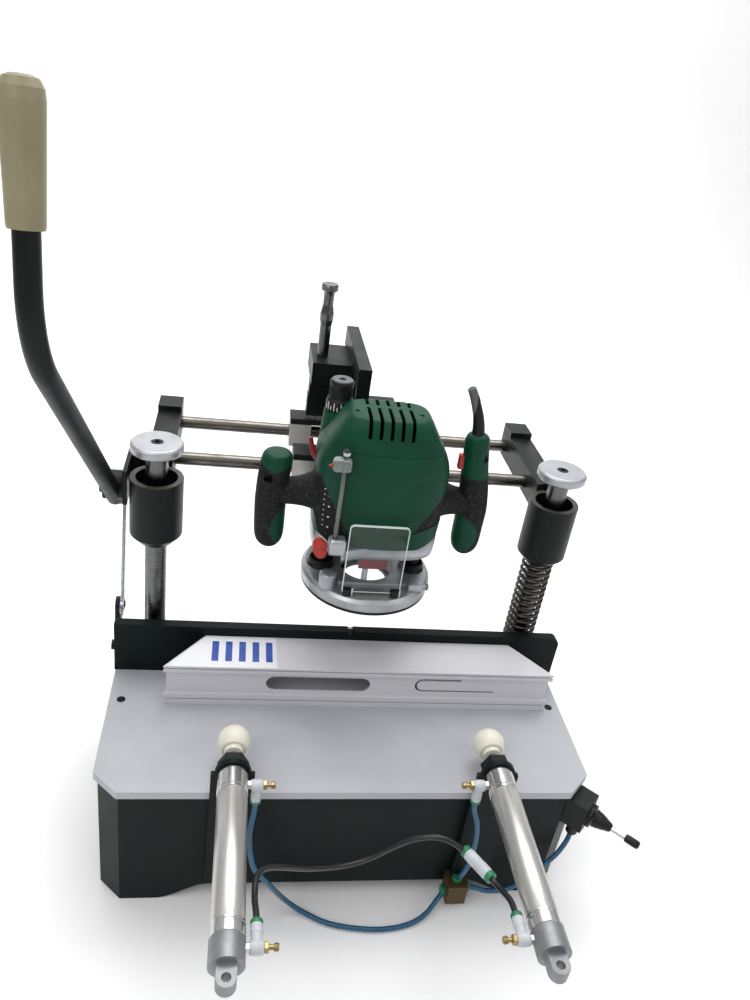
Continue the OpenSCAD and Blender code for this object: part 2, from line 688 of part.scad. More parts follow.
// Half width and half depth of the housing at heights above its foot
motor_rise = motor_top - motor_z;
motor_levels = [[0, motor_w / 2 - 4.5, motor_depth / 2 - 2], [40, motor_w / 2, motor_depth / 2],
    [motor_rise - 74, motor_w / 2, motor_depth / 2], [motor_rise - 33, motor_w / 2 - 16.5, motor_depth / 2 - 1],
    [motor_rise - 14, motor_w / 2 - 25.5, motor_depth / 2 - 4], [motor_rise, motor_w / 2 - 34, motor_depth / 2 - 12]];
motor_last = len(motor_levels) - 1;
module motor_form(inset) hull() for (k = [0:motor_last]) let(level = motor_levels[k])
    translate([0, 0, motor_z + level[0] + (k == 0 ? inset : k == motor_last ? -inset - 1 : 0)])
        linear_extrude(1) polygon(rounded(level[1] - inset, level[2] - inset));
vent_count = 5;
vent_pitch = 11.4;
vent_w = 4;
vent_low = motor_top - 20;
// Front and back of the two rows of slots, the first of them running over the front edge
vent_rows = [[-motor_depth / 2 - 8, -7, vent_low], [-1, 22, motor_top - 10]];
module motor_housing() color(router_green) translate([spindle_x, spindle_y, 0]) difference() {
    union() {
        difference() {
            motor_form(0);
            motor_form(motor_wall);
        }
        intersection() {
            motor_form(0);
            translate([knob_x - spindle_x, knob_y - spindle_y, knob_low - 8]) cylinder(h = 60, d = knob_d + 10);
        }
    }
    translate([knob_x - spindle_x, knob_y - spindle_y, knob_low]) cylinder(h = 60, d = knob_d + 4 * gap);
    translate([0, 0, motor_z - cut]) cylinder(h = motor_wall + 3 * cut, d = fan_d + 8);
    for (s = [-1, 1]) translate([s * column_span / 2, 0, motor_z - cut])
        cylinder(h = column_high - motor_z + plunge_down + 4, d = column_d + 2);
    for (k = [0:vent_count - 1], row = vent_rows) translate([(k - (vent_count - 1) / 2) * vent_pitch - vent_w / 2, row[0], row[2]])
        cube([vent_w, row[1] - row[0], motor_top - row[2] + cut]);
}
module plunge_collar() color("#8d9194") translate([spindle_x, spindle_y, 0]) {
    collar_ring();
    gauge_lug();
}
depth_rod_x = -50;
depth_rod_y = -58;
depth_rod_d = 6;
lug_low = motor_z - 4;
lug_high = motor_z + 24;
lug_mid = lug_low + 8;
lug_w = 16;
lug_front = 7;
lug_back = 6.5;
lug_arm_t = 6;
lug_arm_w = 14;
lug_arm_x = depth_rod_x + 36;
module collar_ring() translate([0, 0, collar_z]) difference() {
    linear_extrude(collar_t) polygon(oct(collar_w / 2, collar_depth / 2, collar_chamfer));
    translate([0, 0, -cut]) cylinder(h = collar_t + 2 * cut, d = fan_d + 8);
    for (s = [-1, 1]) translate([s * column_span / 2, 0, -cut]) cylinder(h = collar_t + 2 * cut, d = column_d + 2 * run);
}
// The lug of the depth gauge stands out to the left on an arm that rises from the front of the collar
module gauge_lug() difference() {
    union() {
        block([depth_rod_x - lug_w / 2, depth_rod_y - lug_front, lug_low], [depth_rod_x + lug_w / 2, depth_rod_y + lug_back, lug_high]);
        block([depth_rod_x, depth_rod_y + lug_back - lug_arm_t, lug_low], [lug_arm_x, depth_rod_y + lug_back, lug_high]);
        block([lug_arm_x - lug_arm_w, depth_rod_y + lug_back - lug_arm_t, collar_z + 4], [lug_arm_x, depth_rod_y + lug_back, lug_high]);
        block([lug_arm_x - lug_arm_w, depth_rod_y + lug_back - cut, collar_z + 4],
            [lug_arm_x, -collar_depth / 2 + cut, collar_z + collar_t]);
    }
    translate([depth_rod_x, depth_rod_y, lug_low - cut]) cylinder(h = lug_high - lug_low + 2 * cut, d = depth_rod_d + 2 * run);
}
stator_low = motor_z + 22;
stator_high = motor_z + 82;
stator_ribs = 0.9973 * (motor_depth / 2 - motor_wall) - 0.02;
bridge_ribs = stator_ribs - 0.6;
pillar_t = 8;
shield_z = collar_z + 6;
shield_rise = 10;
bridge_z = stator_high + 6;
bridge_t = 8;
module motor_stator() color("#7a4a2a") translate([spindle_x, spindle_y, 0]) {
    difference() {
        union() {
            translate([0, 0, stator_low]) cylinder(h = stator_high - stator_low, d = stator_d);
            block([-6, -stator_ribs, stator_low + 22], [6, stator_ribs, stator_high - 8]);
        }
        translate([0, 0, stator_low - cut]) cylinder(h = stator_high - stator_low + 2 * cut, d = rotor_d + 2);
    }
    difference() {
        union() {
            translate([0, 0, shield_z]) cylinder(h = shield_rise, d = fan_d + 8);
            block([-8, -bridge_ribs, bridge_z], [8, bridge_ribs, bridge_z + bridge_t]);
            for (s = [-1, 1]) translate([-8, s * (stator_d - pillar_t - 2) / 2 - pillar_t / 2, stator_high - cut])
                cube([16, pillar_t, bridge_z - stator_high + 2 * cut]);
        }
        translate([0, 0, shield_z - cut]) cylinder(h = 200, d = shaft_d + 2 * run);
    }
}
shaft_low = motor_z - 32;
shaft_rise = 122;
shaft_high = motor_z + shaft_rise;
module spindle() color(steel) translate([spindle_x, spindle_y, 0]) difference() {
    union() {
        translate([0, 0, shaft_low]) cylinder(h = shaft_high - shaft_low, d = shaft_d);
        translate([0, 0, stator_low + 4]) cylinder(h = stator_high - stator_low - 8, d = rotor_d);
        translate([0, 0, motor_z + 8]) cylinder(h = 8, d = fan_d);
    }
    translate([0, 0, shaft_low - cut]) cylinder(h = 31, d = cutter_d + 2 * seat);
}
nut_low = shaft_low - 20;
module collet_nut() color(steel) translate([spindle_x, spindle_y, 0]) difference() {
    translate([0, 0, nut_low]) cylinder(h = shaft_low - nut_low, d = 22, $fn = 6);
    translate([0, 0, nut_low - cut]) cylinder(h = 40, d = cutter_d + 2 * seat);
}
cutter_low = base_z - 18;
module cutter() color("#d0d0c8") translate([spindle_x, spindle_y, cutter_low]) cylinder(h = shaft_low + 28 - cutter_low, d = cutter_d);

// Side handles: each a swelling grip with a neck into the motor housing
module ball(p, r) translate(p) sphere(r = r, $fn = 32);
handle_y = spindle_y;
neck_z = motor_z + 42;
neck_r = [16, 18];
// Distance from the spindle, height above the housing's foot and radius at the foot, middle and head of each grip
left_out = [120, 121, 112];
left_up = [-15, 32, 78];
left_r = [17, 18, 15];
right_out = [115, 115, 106];
right_up = [-11, 38, 110];
right_r = [17, 18, 14];
neck_in = 5;
module grip_form(side, out, rise, r) {
    hull() for (k = [0:2]) ball([spindle_x + side * out[k], handle_y, motor_z + rise[k]], r[k]);
    hull() {
        ball([spindle_x + side * (out[1] - neck_in), handle_y, neck_z], neck_r[0]);
        ball([spindle_x + side * motor_w / 2, handle_y, neck_z], neck_r[1]);
    }
}
module handle_left() color(router_green) difference() {
    grip_form(-1, left_out, left_up, left_r);
    translate([spindle_x, spindle_y, 0]) motor_form(0);
}
switch_rise = 94;
switch_z = motor_z + switch_rise;
switch_travel = 3;
switch_w = 8;
switch_h = 18;
switch_x = right_out[2] - 4;
switch_deep = 14;
module handle_right() color(router_green) difference() {
    grip_form(1, right_out, right_up, right_r);
    translate([spindle_x, spindle_y, 0]) motor_form(0);
    translate([spindle_x + switch_x - switch_deep, handle_y - switch_w / 2 - gap, switch_z - switch_h / 2 - gap])
        cube([switch_deep, switch_w + 2 * gap, switch_h + 2 * gap]);
}
module power_switch() color(red) translate([spindle_x + switch_x - gap - switch_deep, handle_y - switch_w / 2, switch_z - switch_h / 2])
    cube([switch_deep - switch_travel, switch_w, switch_h]);

guard_rise = 118;
guard_low = motor_z + guard_rise;
guard_d = [16, 11, 9];
module cord_guard() color(rubber_black) difference() {
    hull() {
        translate([spindle_x + right_out[2], handle_y, guard_low]) cylinder(h = 2, d = guard_d[0], $fn = 32);
        translate([spindle_x + right_out[2] - 3, handle_y, guard_low + 30]) cylinder(h = 2, d = guard_d[1], $fn = 32);
        translate([spindle_x + right_out[2] - 14, handle_y, guard_low + 54]) sphere(d = guard_d[2], $fn = 32);
    }
    ball([spindle_x + right_out[2], handle_y, motor_z + right_up[2]], right_r[2] + seat);
}

knob_x = spindle_x - 53;
knob_y = spindle_y + 24;
knob_d = 30;
knob_low = motor_top - 34;
knob_high = motor_top + 16;
module fine_knob() color(rubber_black) translate([knob_x, knob_y, 0]) difference() {
    union() {
        translate([0, 0, knob_low + gap]) cylinder(h = 24, d = knob_d);
        translate([0, 0, knob_low + gap]) cylinder(h = knob_high - knob_low - 4, d = knob_d - 10);
        translate([0, 0, knob_high - 7]) cylinder(h = 7, d = knob_d - 5);
    }
    translate([0, 0, knob_high - 3]) cylinder(h = 4, d = 6, $fn = 6);
}

depth_rod_low = lug_low;
depth_rod_rise = 128;
depth_rod_high = motor_z + depth_rod_rise;
depth_tab = [20, 8, 12];
depth_tab_drop = 18;
module depth_gauge() color(steel) translate([spindle_x + depth_rod_x, spindle_y + depth_rod_y, 0]) {
    translate([0, 0, depth_rod_low]) cylinder(h = depth_rod_high - depth_rod_low, d = depth_rod_d);
    translate([-depth_tab[0] / 2, -depth_tab[1], depth_rod_high - depth_tab_drop]) cube(depth_tab);
}
wing_w = 16;
wing_h = 28;
wing_t = 6;
wing_hub = [10, 7];
module wing_screw() color(red) translate([spindle_x + depth_rod_x - lug_w / 2 - gap, spindle_y + depth_rod_y, lug_mid]) {
    translate([-wing_hub[1] / 2, 0, 0]) along_x(wing_hub[1], wing_hub[0]);
    translate([-wing_hub[1] - wing_t / 2 + cut, 0, 0]) hull() for (s = [-1, 1])
        translate([0, 0, s * (wing_h - wing_w) / 2]) along_x(wing_t, wing_w, $fn = 32);
}

// Air clamps at the front of the table

clamp_z = table_h + clamp_h;
clamp_xs = [clamp_shift - clamp_span / 2, clamp_shift + clamp_span / 2];
clamp_plate_t = 6;
clamp_plate_w = 46;
clamp_plate_low = arch_h + 20;
nose_d = 18;
clamp_nut_t = 12;
cover_len = 26;
cover_d = barrel_d + 1;
barrel_front = -table_front - clamp_plate_t;
barrel_rear = barrel_front - barrel_len;
cap_len = 24;
rear_wall = 15;
rear_fit = 7.5;
eye_t = 14;
eye_d = 18;
eye_hole_d = 8;
eye_reach = 12;
module clamp_brackets() color(black_steel) for (x = clamp_xs) difference() {
    union() {
        block([x - clamp_plate_w / 2, -table_front - clamp_plate_t, clamp_plate_low],
            [x + clamp_plate_w / 2, -table_front, clamp_z]);
        translate([x, -table_front - clamp_plate_t / 2, clamp_z]) along_y(clamp_plate_t, clamp_plate_w - 8);
    }
    translate([x, -table_front, clamp_z]) along_y(4 * clamp_plate_t, nose_d + 2 * seat);
}
module clamp_barrels() color(silver) for (x = clamp_xs) translate([x, 0, clamp_z]) difference() {
    union() {
        translate([0, (barrel_front + barrel_rear) / 2, 0]) along_y(barrel_len, barrel_d);
        translate([0, barrel_front - cover_len / 2, 0]) along_y(cover_len, cover_d);
        translate([0, barrel_front + (clamp_plate_t + clamp_nut_t + 2) / 2, 0]) along_y(clamp_plate_t + clamp_nut_t + 2, nose_d);
    }
    translate([0, barrel_front, 0]) along_y(2 * (barrel_len - rear_wall), piston_d + 2 * run);
    translate([0, (barrel_front - cover_len + barrel_rear + rear_wall) / 2, 0])
        along_y(barrel_len - cover_len - rear_wall, barrel_d - 6);
}
module clamp_nuts() color(black_steel) for (x = clamp_xs) difference() {
    translate([x, -table_front + clamp_nut_t / 2, clamp_z]) rotate([90, 0, 0]) cylinder(h = clamp_nut_t, d = 34, center = true, $fn = 6);
    translate([x, -table_front, clamp_z]) along_y(4 * clamp_nut_t, nose_d + 2 * seat);
}
module clamp_caps() color(silver) for (x = clamp_xs) translate([x, barrel_rear, clamp_z]) difference() {
    union() {
        translate([0, -cap_len / 2, 0]) along_y(cap_len, cover_d);
        block([-eye_d / 2, -cap_len - eye_reach, -eye_t / 2], [eye_d / 2, -cap_len + cut, eye_t / 2]);
        translate([0, -cap_len - eye_reach, -eye_t / 2]) cylinder(h = eye_t, d = eye_d);
    }
    translate([0, -cap_len - eye_reach, -eye_t / 2 - cut]) cylinder(h = eye_t + 2 * cut, d = eye_hole_d);
}

ball_front = -table_front + clamp_nut_t + 11;
head_t = 10;
piston_back = cover_len + clamp_stroke + head_t / 2 + 3;
module piston(x) translate([x, 0, clamp_z]) {
    color(steel) translate([0, (ball_front + 4 + barrel_front - piston_back) / 2, 0])
        along_y(ball_front + 4 - barrel_front + piston_back, piston_d);
    color(steel) translate([0, barrel_front - piston_back, 0]) along_y(head_t, barrel_d - 6 - 2 * run);
    color(ivory) difference() {
        union() {
            translate([0, ball_front + ball_d / 2, 0]) sphere(d = ball_d);
            translate([0, ball_front + 5, 0]) along_y(10, 20);
        }
        translate([0, ball_front, 0]) along_y(2 * (4 + seat), piston_d + 2 * seat);
    }
}
module piston_left() piston(clamp_xs[0]);
module piston_right() piston(clamp_xs[1]);

// Air fittings: swivel ports on the inner side of each barrel, with a brass screw outward
fitting_d = 12;
fitting_y = [barrel_front - cover_len / 2, barrel_rear - rear_fit];
port_len = 22;
fitting_off = cover_d / 2 + 9;
function port(k, i) = [clamp_xs[k] + (1 - 2 * k) * fitting_off, fitting_y[i] + (i == 0 ? 0 : port_len),
    clamp_z - (i == 0 ? port_len : 0)];
module air_fittings() for (k = [0, 1], i = [0, 1]) {
    s = 1 - 2 * k;
    color("#c7cbcc") translate([clamp_xs[k] + s * (cover_d / 2 - 0.5), fitting_y[i], clamp_z]) difference() {
        union() {
            translate([s * 10, 0, 0]) along_x(20, fitting_d);
            translate([s * 24, 0, 0]) along_x(10, fitting_d / 2);
            translate([s * 9.5, 0, 0]) rotate(i == 0 ? [180, 0, 0] : [-90, 0, 0]) cylinder(h = port_len, d = fitting_d - 1);
        }
        translate([-s * (cover_d / 2 - 0.5), 0, 0]) along_y(60, cover_d + 2 * seat);
    }
}

// Hand valve on the chamfer at the right front corner of the cabinet, its stick pointing straight out
valve_mid = (plan(cabinet_inset)[2] + plan(cabinet_inset)[3]) / 2;
valve_z = table_under - 24;
valve_size = [32, 26, 38];
valve_port_h = 20;
ring_t = 5;
stick_len = 62;
module valve_frame() translate([valve_mid[0], valve_mid[1], valve_z]) rotate([0, 0, 45]) children();
module valve_body() valve_frame() {
    color(black_steel) translate([-valve_size[0] / 2, -valve_size[1], -valve_size[2] / 2]) cube(valve_size);
    color(silver) translate([0, -valve_size[1] / 2, -valve_size[2] / 2 - valve_port_h]) cylinder(h = valve_port_h + cut, d = 14);
    color(silver) translate([0, -valve_size[1] - ring_t / 2, 0]) along_y(ring_t, 28);
}
module valve_lever() color(rubber_black) valve_frame() translate([0, -valve_size[1] - ring_t - gap, 0]) rotate([90, 0, 0]) {
    rotate_extrude() polygon([[0, 0], [4, 0], [11, 1.2], [9, 12], [5, 22], [3, 24], [3, 40], [4.5, 42], [4.5, stick_len - ring_t - 2],
        [3, stick_len - ring_t], [0, stick_len - ring_t]]);
}
valve_out = valve_size[1] / 2 / sqrt(2);
valve_port = [valve_mid[0] + valve_out, valve_mid[1] - valve_out, valve_z - valve_size[2] / 2 - valve_port_h];

// Hoses: hand-laid routes of round numbers between the fittings
tee_low = [128, -table_front - 21, 12];
tee_high = [152, -table_front + cabinet_inset, 42];
tee_mid = (tee_low + tee_high) / 2;
coupler_ends = [[108, -305, 186], [124, -335, 189]];
module inline_coupler() color("#d5d8d6") {
    v = coupler_ends[1] - coupler_ends[0];
    translate(coupler_ends[0]) rotate([0, acos(v[2] / norm(v)), atan2(v[1], v[0])]) cylinder(h = norm(v), d = 13);
}
module tee_block() color("#5a4a30") block(tee_low, tee_high);

route_front_left = concat([port(0, 0)], [[-109, -244, 174], [-112, -254, 148], [-106, -262, 112], [-92, -262, 88],
    [-76, -250, 50], [-60, -242, 20], [-42, -245, 6], [-10, -260, 4], [37, -268, 4], [75, -265, 4], [100, -256, 8],
    [116, -243, 16]], [[tee_low[0], tee_mid[1], 22]]);
route_rear_left = concat([port(0, 1)], [[-109, -382, 211], [-110, -365, 206], [-108, -342, 204], [-98, -328, 197],
    [-80, -318, 184], [-51, -302, 160], [-12, -287, 144], [15, -284, 152], [38, -286, 173], [60, -290, 190],
    [84, -296, 196]], [coupler_ends[0]]);
route_front_right = concat([port(1, 0)], [[132, -243, 175], [138, -246, 158], [142, -247, 130], [142, -247, 92],
    [140, -241, 62]], [[140, tee_mid[1], tee_high[2]]]);
route_rear_right = concat([coupler_ends[1]], [[129, -348, 191], [131, -362, 199], [131, -378, 209]], [port(1, 1)]);
route_valve = concat([valve_port], [[268, -221, 94], [256, -230, 84], [240, -235, 68], [222, -237, 46], [202, -237, 28],
    [180, -236, 25], [165, -234, 28]], [[tee_high[0], tee_mid[1], 28]]);
hose_sides = 8;
module hose(route, c) color(c) tube(route, hose_d, hose_sides, [0.3, 0.2, 0.9]);
module hose_front_left() hose(route_front_left, hose_blue);
module hose_rear_left() hose(route_rear_left, rubber_black);
module hose_front_right() hose(route_front_right, hose_blue);
module hose_rear_right() hose(route_rear_right, rubber_black);
module hose_valve() hose(route_valve, hose_blue);

// Sample profile lying in the machine: a mitred hollow window section with two milled slots
profile_y = -fence_face - gap;
profile_mid = 20;
flange_out = 4;
flange_band = 9;
slot_z = 38;
slot_len = [126, 94];
slot_h = [12, 8];
slot_x = [-35, 131];
module profile_section(i) polygon([[-profile_depth + flange_out + i, i], [-i, i], [-i, profile_h - i], [-profile_depth + flange_out + i, profile_h - i]]);
module slot_cut(k) translate([slot_x[k], profile_y - profile_depth + flange_out, table_h + slot_z]) hull()
    for (s = [-1, 1]) translate([s * (slot_len[k] - slot_h[k]) / 2, 0, 0]) along_y(3 * profile_wall, slot_h[k]);
module profile_run() rotate([90, 0, 90]) children();
module sample_profile() color("#c9c8cc") difference() {
    translate([profile_mid - profile_len / 2, profile_y, table_h]) {
        difference() {
            profile_run() linear_extrude(profile_len) profile_section(0);
            translate([-cut, 0, 0]) profile_run() linear_extrude(profile_len + 2 * cut) profile_section(profile_wall);
        }
        for (z = [0, profile_h - flange_band]) translate([0, -profile_depth, z]) cube([profile_len, flange_out, flange_band]);
    }
    for (s = [-1, 1]) translate([profile_mid + s * profile_len / 2, profile_y - profile_depth, table_h - cut])
        rotate([0, 0, s * 38]) translate([s > 0 ? 0 : -100, -cut, 0]) cube([100, 120, profile_h + 2 * cut]);
    slot_cut(0);
    slot_cut(1);
}

cabinet();
table_plate();
fence();
base_screws();
guide_posts();
post_caps();
link_anchor();
clamp_brackets();
clamp_barrels();
clamp_caps();
clamp_nuts();
air_fittings();
valve_body();
inline_coupler();
tee_block();
hose_front_left();
hose_rear_left();
hose_front_right();
hose_rear_right();
hose_valve();
sample_profile();
lift_spring();
housing_left();
housing_right();
post_bushes();
arm_left();
arm_right();
cross_rods();
lever_bracket();
lever_tube();
lever_grip();
pull_link();
saddle_frame();
rod_bearings();
depth_rods();
carrier_plate();
tie_block();
router_base();
sole_plate();
plunge_columns();
chip_shield();
stop_turret();
stylus_pin();
plunge_collar();
motor_housing();
handle_left();
handle_right();
motor_stator();
cord_guard();
spindle();
collet_nut();
cutter();
power_switch();
fine_knob();
depth_gauge();
wing_screw();
piston_left();
piston_right();
valve_lever();
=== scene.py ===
import math

import bpy
import bmesh
import numpy as np
from mathutils import Matrix, Vector


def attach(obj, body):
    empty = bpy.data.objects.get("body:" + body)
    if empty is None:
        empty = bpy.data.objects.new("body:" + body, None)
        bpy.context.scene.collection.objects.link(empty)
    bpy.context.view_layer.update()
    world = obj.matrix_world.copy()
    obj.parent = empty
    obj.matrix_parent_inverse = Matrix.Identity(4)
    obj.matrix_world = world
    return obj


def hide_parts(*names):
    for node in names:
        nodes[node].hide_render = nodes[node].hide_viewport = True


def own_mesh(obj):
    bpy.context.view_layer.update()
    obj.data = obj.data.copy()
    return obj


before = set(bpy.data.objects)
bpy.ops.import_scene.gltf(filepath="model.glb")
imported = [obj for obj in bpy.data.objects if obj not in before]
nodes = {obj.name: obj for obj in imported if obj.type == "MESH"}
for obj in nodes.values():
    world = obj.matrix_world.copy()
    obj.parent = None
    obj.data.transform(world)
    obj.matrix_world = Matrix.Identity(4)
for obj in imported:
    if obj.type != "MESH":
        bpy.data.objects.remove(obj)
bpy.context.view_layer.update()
mm = 0.001
pi = math.pi
scene = bpy.context.scene
print("frame loaded:", len(nodes), "solids")

# camera: the photograph's own viewing point, found from the table, the posts and the cylinders
cameraPlan = dict(place=(-0.1548, -0.8523, 0.9039), right=(0.98336, -0.11860, 0.13762),
    up=(-0.06065, 0.49971, 0.86407), back=(-0.17125, -0.85803, 0.48420), verticalAngle=61.66)


def placed(name, data):
    # an object at the origin that shows the data
    obj = bpy.data.objects.new(name, data)
    scene.collection.objects.link(obj)
    return obj


def setCamera(plan):
    lens = bpy.data.cameras.new("benchCamera")
    lens.sensor_fit = "VERTICAL"
    lens.angle = math.radians(plan["verticalAngle"])
    lens.clip_end = 20
    eye = placed("benchCamera", lens)
    turn = Matrix((plan["right"], plan["up"], plan["back"])).transposed().to_4x4()
    eye.matrix_world = Matrix.Translation(plan["place"]) @ turn
    scene.camera = eye


setCamera(cameraPlan)


# mesh helpers

def floats(rows):
    return np.asarray(rows, float)


def newMesh(name, points, faces, smooth=True):
    # points is an (n, 3) array in metres, faces a list of index lists
    data = bpy.data.meshes.new(name)
    data.from_pydata(floats(points).reshape(-1, 3).tolist(), [], [list(map(int, f)) for f in faces])
    data.update()
    data.polygons.foreach_set("use_smooth", np.full(len(data.polygons), smooth))
    return placed(name, data)


def dressed(obj, *mats):
    for mat in mats:
        obj.data.materials.append(mat)
    return obj


def paint(obj, which):
    # which gives each face its place in the object's list of materials
    obj.data.polygons.foreach_set("material_index", np.asarray(which).astype(np.int32))


def ringFaces(m, n, wrap=False):
    # quads of an m by n grid closed round its second side; unless it wraps, each end is one polygon
    i = np.arange(m if wrap else m - 1)[:, None] * n
    k = np.arange(n)[None, :]
    nxt = (k + 1) % n
    j = (i + n) % (m * n)
    quads = np.stack([i + k, i + nxt, j + nxt, j + k], -1).reshape(-1, 4).tolist()
    if not wrap:
        quads.append(list(range(n))[::-1])
        quads.append(list(range((m - 1) * n, m * n)))
    return quads


def fairNormals(obj):
    work = bmesh.new()
    work.from_mesh(obj.data)
    bmesh.ops.remove_doubles(work, verts=work.verts, dist=1e-6)
    bmesh.ops.recalc_face_normals(work, faces=work.faces)
    work.to_mesh(obj.data)
    work.free()


def lofted(name, rings, wrap=False, smooth=True):
    # rings is an (m, n, 3) array: each ring is one closed section of the skin
    rings = floats(rings)
    obj = newMesh(name, rings, ringFaces(*rings.shape[:2], wrap), smooth)
    fairNormals(obj)
    return obj


def sweptRings(path, radii, sides, up=(0.3, 0.2, 0.9)):
    # circles carried along a path: centre + r (cos a u + sin a w), u and w square to the path
    path = floats(path)
    ahead = np.gradient(path, axis=0)
    ahead /= np.linalg.norm(ahead, axis=1)[:, None]
    u = np.cross(ahead, floats(up))
    u /= np.linalg.norm(u, axis=1)[:, None]
    w = np.cross(u, ahead)
    a = np.arange(sides) * 2 * pi / sides
    radii = np.broadcast_to(floats(radii), len(path))
    c, s = np.cos(a)[None, :, None], np.sin(a)[None, :, None]
    return path[:, None] + radii[:, None, None] * (c * u[:, None] + s * w[:, None])


def smoothPath(points, count):
    # Catmull-Rom curve through the points, stepped evenly along its length
    p = floats(points)
    p = np.vstack([2 * p[0] - p[1], p, 2 * p[-1] - p[-2]])
    t = np.linspace(0, 1, 40, endpoint=False)[None, :, None]
    a, b, c, d = p[:-3, None], p[1:-2, None], p[2:-1, None], p[3:, None]
    fine = 0.5 * (2 * b + (c - a) * t + (2 * a - 5 * b + 4 * c - d) * t ** 2 + (3 * b - a - 3 * c + d) * t ** 3)
    fine = np.vstack([fine.reshape(-1, 3), p[-2]])
    run = np.concatenate([[0], np.cumsum(np.linalg.norm(np.diff(fine, axis=0), axis=1))])
    at = np.linspace(0, run[-1], count)
    return np.stack([np.interp(at, run, fine[:, k]) for k in range(3)], -1), run[-1]


def turned(name, profile, sides=64, axis=(0, 0, 1), at=(0, 0, 0)):
    # profile rows are (radius, distance along the axis), turned round the axis through the point at
    profile = floats(profile)
    z = floats(axis) / np.linalg.norm(axis)
    x = np.cross(z, (0.31, 0.74, 0.59))
    x /= np.linalg.norm(x)
    y = np.cross(z, x)
    a = np.arange(sides) * 2 * pi / sides
    spokes = np.cos(a)[:, None] * x + np.sin(a)[:, None] * y
    rings = floats(at) + profile[:, 0, None, None] * spokes[None] + profile[:, 1, None, None] * z
    return lofted(name, rings)


def joined(name, pieces):
    # one mesh out of several finished pieces, material slots kept
    points, faces, mats, index = [], [], [], []
    start = 0
    for p in pieces:
        data = p.data
        co = np.zeros(len(data.vertices) * 3)
        data.vertices.foreach_get("co", co)
        points.append(co.reshape(-1, 3))
        base = len(mats)
        mats += list(data.materials)
        for f in data.polygons:
            faces.append([v + start for v in f.vertices])
            index.append(base + f.material_index)
        start += len(data.vertices)
    obj = dressed(newMesh(name, np.vstack(points), faces), *mats)
    paint(obj, index)
    for p in pieces:
        bpy.data.objects.remove(p)
    return obj


def stack(name, parts, axis=(0, 0, 1), at=(0, 0, 0), sides=48):
    # turned parts on one axis in one mesh: each is a material, a profile in mm and, where it differs, its sides
    pieces = []
    at = floats(at) * mm
    for mat, profile, *own in parts:
        piece = turned(name + "Part", floats(profile) * mm, own[0] if own else sides, axis, at)
        pieces.append(dressed(piece, mat))
    return joined(name, pieces)


def slab(name, low, high, bevel, mat, segments=3):
    # block between two corners in mm with rounded edges
    low, high = floats(low), floats(high)
    work = bmesh.new()
    bmesh.ops.create_cube(work, size=1.0)
    bmesh.ops.scale(work, vec=Vector((high - low) * mm), verts=work.verts)
    bmesh.ops.translate(work, vec=Vector((high + low) / 2 * mm), verts=work.verts)
    if bevel:
        bmesh.ops.bevel(work, geom=work.edges[:], offset=bevel * mm, segments=segments, profile=0.5, affect="EDGES")
    data = bpy.data.meshes.new(name)
    work.to_mesh(data)
    work.free()
    return dressed(placed(name, data), mat)


def prism(name, outline, low, high, axis="z", mat=None):
    # outline in mm in the plane square to the axis, stretched from low to high
    flat = floats(outline)
    k = "xyz".index(axis)
    obj = lofted(name, np.stack([np.insert(flat, k, h, axis=1) for h in (low, high)]) * mm, smooth=False)
    return dressed(obj, mat) if mat else obj


def slotOutline(x, low, high, half, count=9):
    # a slot with round ends: half circles of radius half about (x, low + half) and (x, high - half)
    a = np.linspace(0, pi, count)
    top = np.column_stack([x + half * np.cos(a), high - half + half * np.sin(a)])
    bottom = np.column_stack([x - half * np.cos(a), low + half - half * np.sin(a)])
    return np.vstack([top, bottom])


def cutAway(obj, *cutters):
    # takes the cutters out of obj and leaves plain mesh; a cutter's own material lines the opening
    for cutter in cutters:
        tool = obj.modifiers.new("opening", "BOOLEAN")
        tool.operation = "DIFFERENCE"
        tool.solver = "EXACT"
        tool.object = cutter
        if len(cutter.data.materials):
            tool.material_mode = "TRANSFER"
    bpy.context.view_layer.update()
    seen = obj.evaluated_get(bpy.context.evaluated_depsgraph_get())
    fresh = bpy.data.meshes.new_from_object(seen)
    obj.modifiers.clear()
    obj.data = fresh
    for cutter in cutters:
        bpy.data.objects.remove(cutter)
    return obj


def softened(obj, width, segments=3, angle=35):
    # rounds every edge sharper than the angle; width in mm
    work = bmesh.new()
    work.from_mesh(obj.data)
    sharp = [e for e in work.edges if len(e.link_faces) == 2 and e.calc_face_angle() > math.radians(angle)]
    bmesh.ops.bevel(work, geom=sharp, offset=width * mm, segments=segments, profile=0.5, affect="EDGES",
        clamp_overlap=True)
    work.to_mesh(obj.data)
    work.free()
    return obj


def faceMiddles(obj):
    mid = np.zeros(len(obj.data.polygons) * 3)
    obj.data.polygons.foreach_get("center", mid)
    return mid.reshape(-1, 3) / mm


def smoothStep(t):
    t = np.clip(t, 0, 1)
    return t * t * (3 - 2 * t)


def shown(piece, body, *stands, crease=35):
    # a finished piece: smooth, with hard lines where the skin turns by more than crease degrees, on its body, in place
    # of the solids it stands for
    piece.data.polygons.foreach_set("use_smooth", np.ones(len(piece.data.polygons), bool))
    piece.data.set_sharp_from_angle(angle=math.radians(crease))
    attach(piece, body)
    if stands:
        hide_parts(*stands)
    return piece


# materials

def linear(code):
    # sRGB hex to the linear values that shaders take
    c = np.array([int(code[i:i + 2], 16) for i in (1, 3, 5)]) / 255
    c = np.where(c <= 0.04045, c / 12.92, ((c + 0.055) / 1.055) ** 2.4)
    return (*c.tolist(), 1.0)


def addNode(tree, kind, feeds=None, **settings):
    node = tree.nodes.new(kind)
    for key, value in settings.items():
        setattr(node, key, value)
    for key, value in (feeds or {}).items():
        if isinstance(value, bpy.types.NodeSocket):
            tree.links.new(value, node.inputs[key])
        else:
            node.inputs[key].default_value = value
    return node


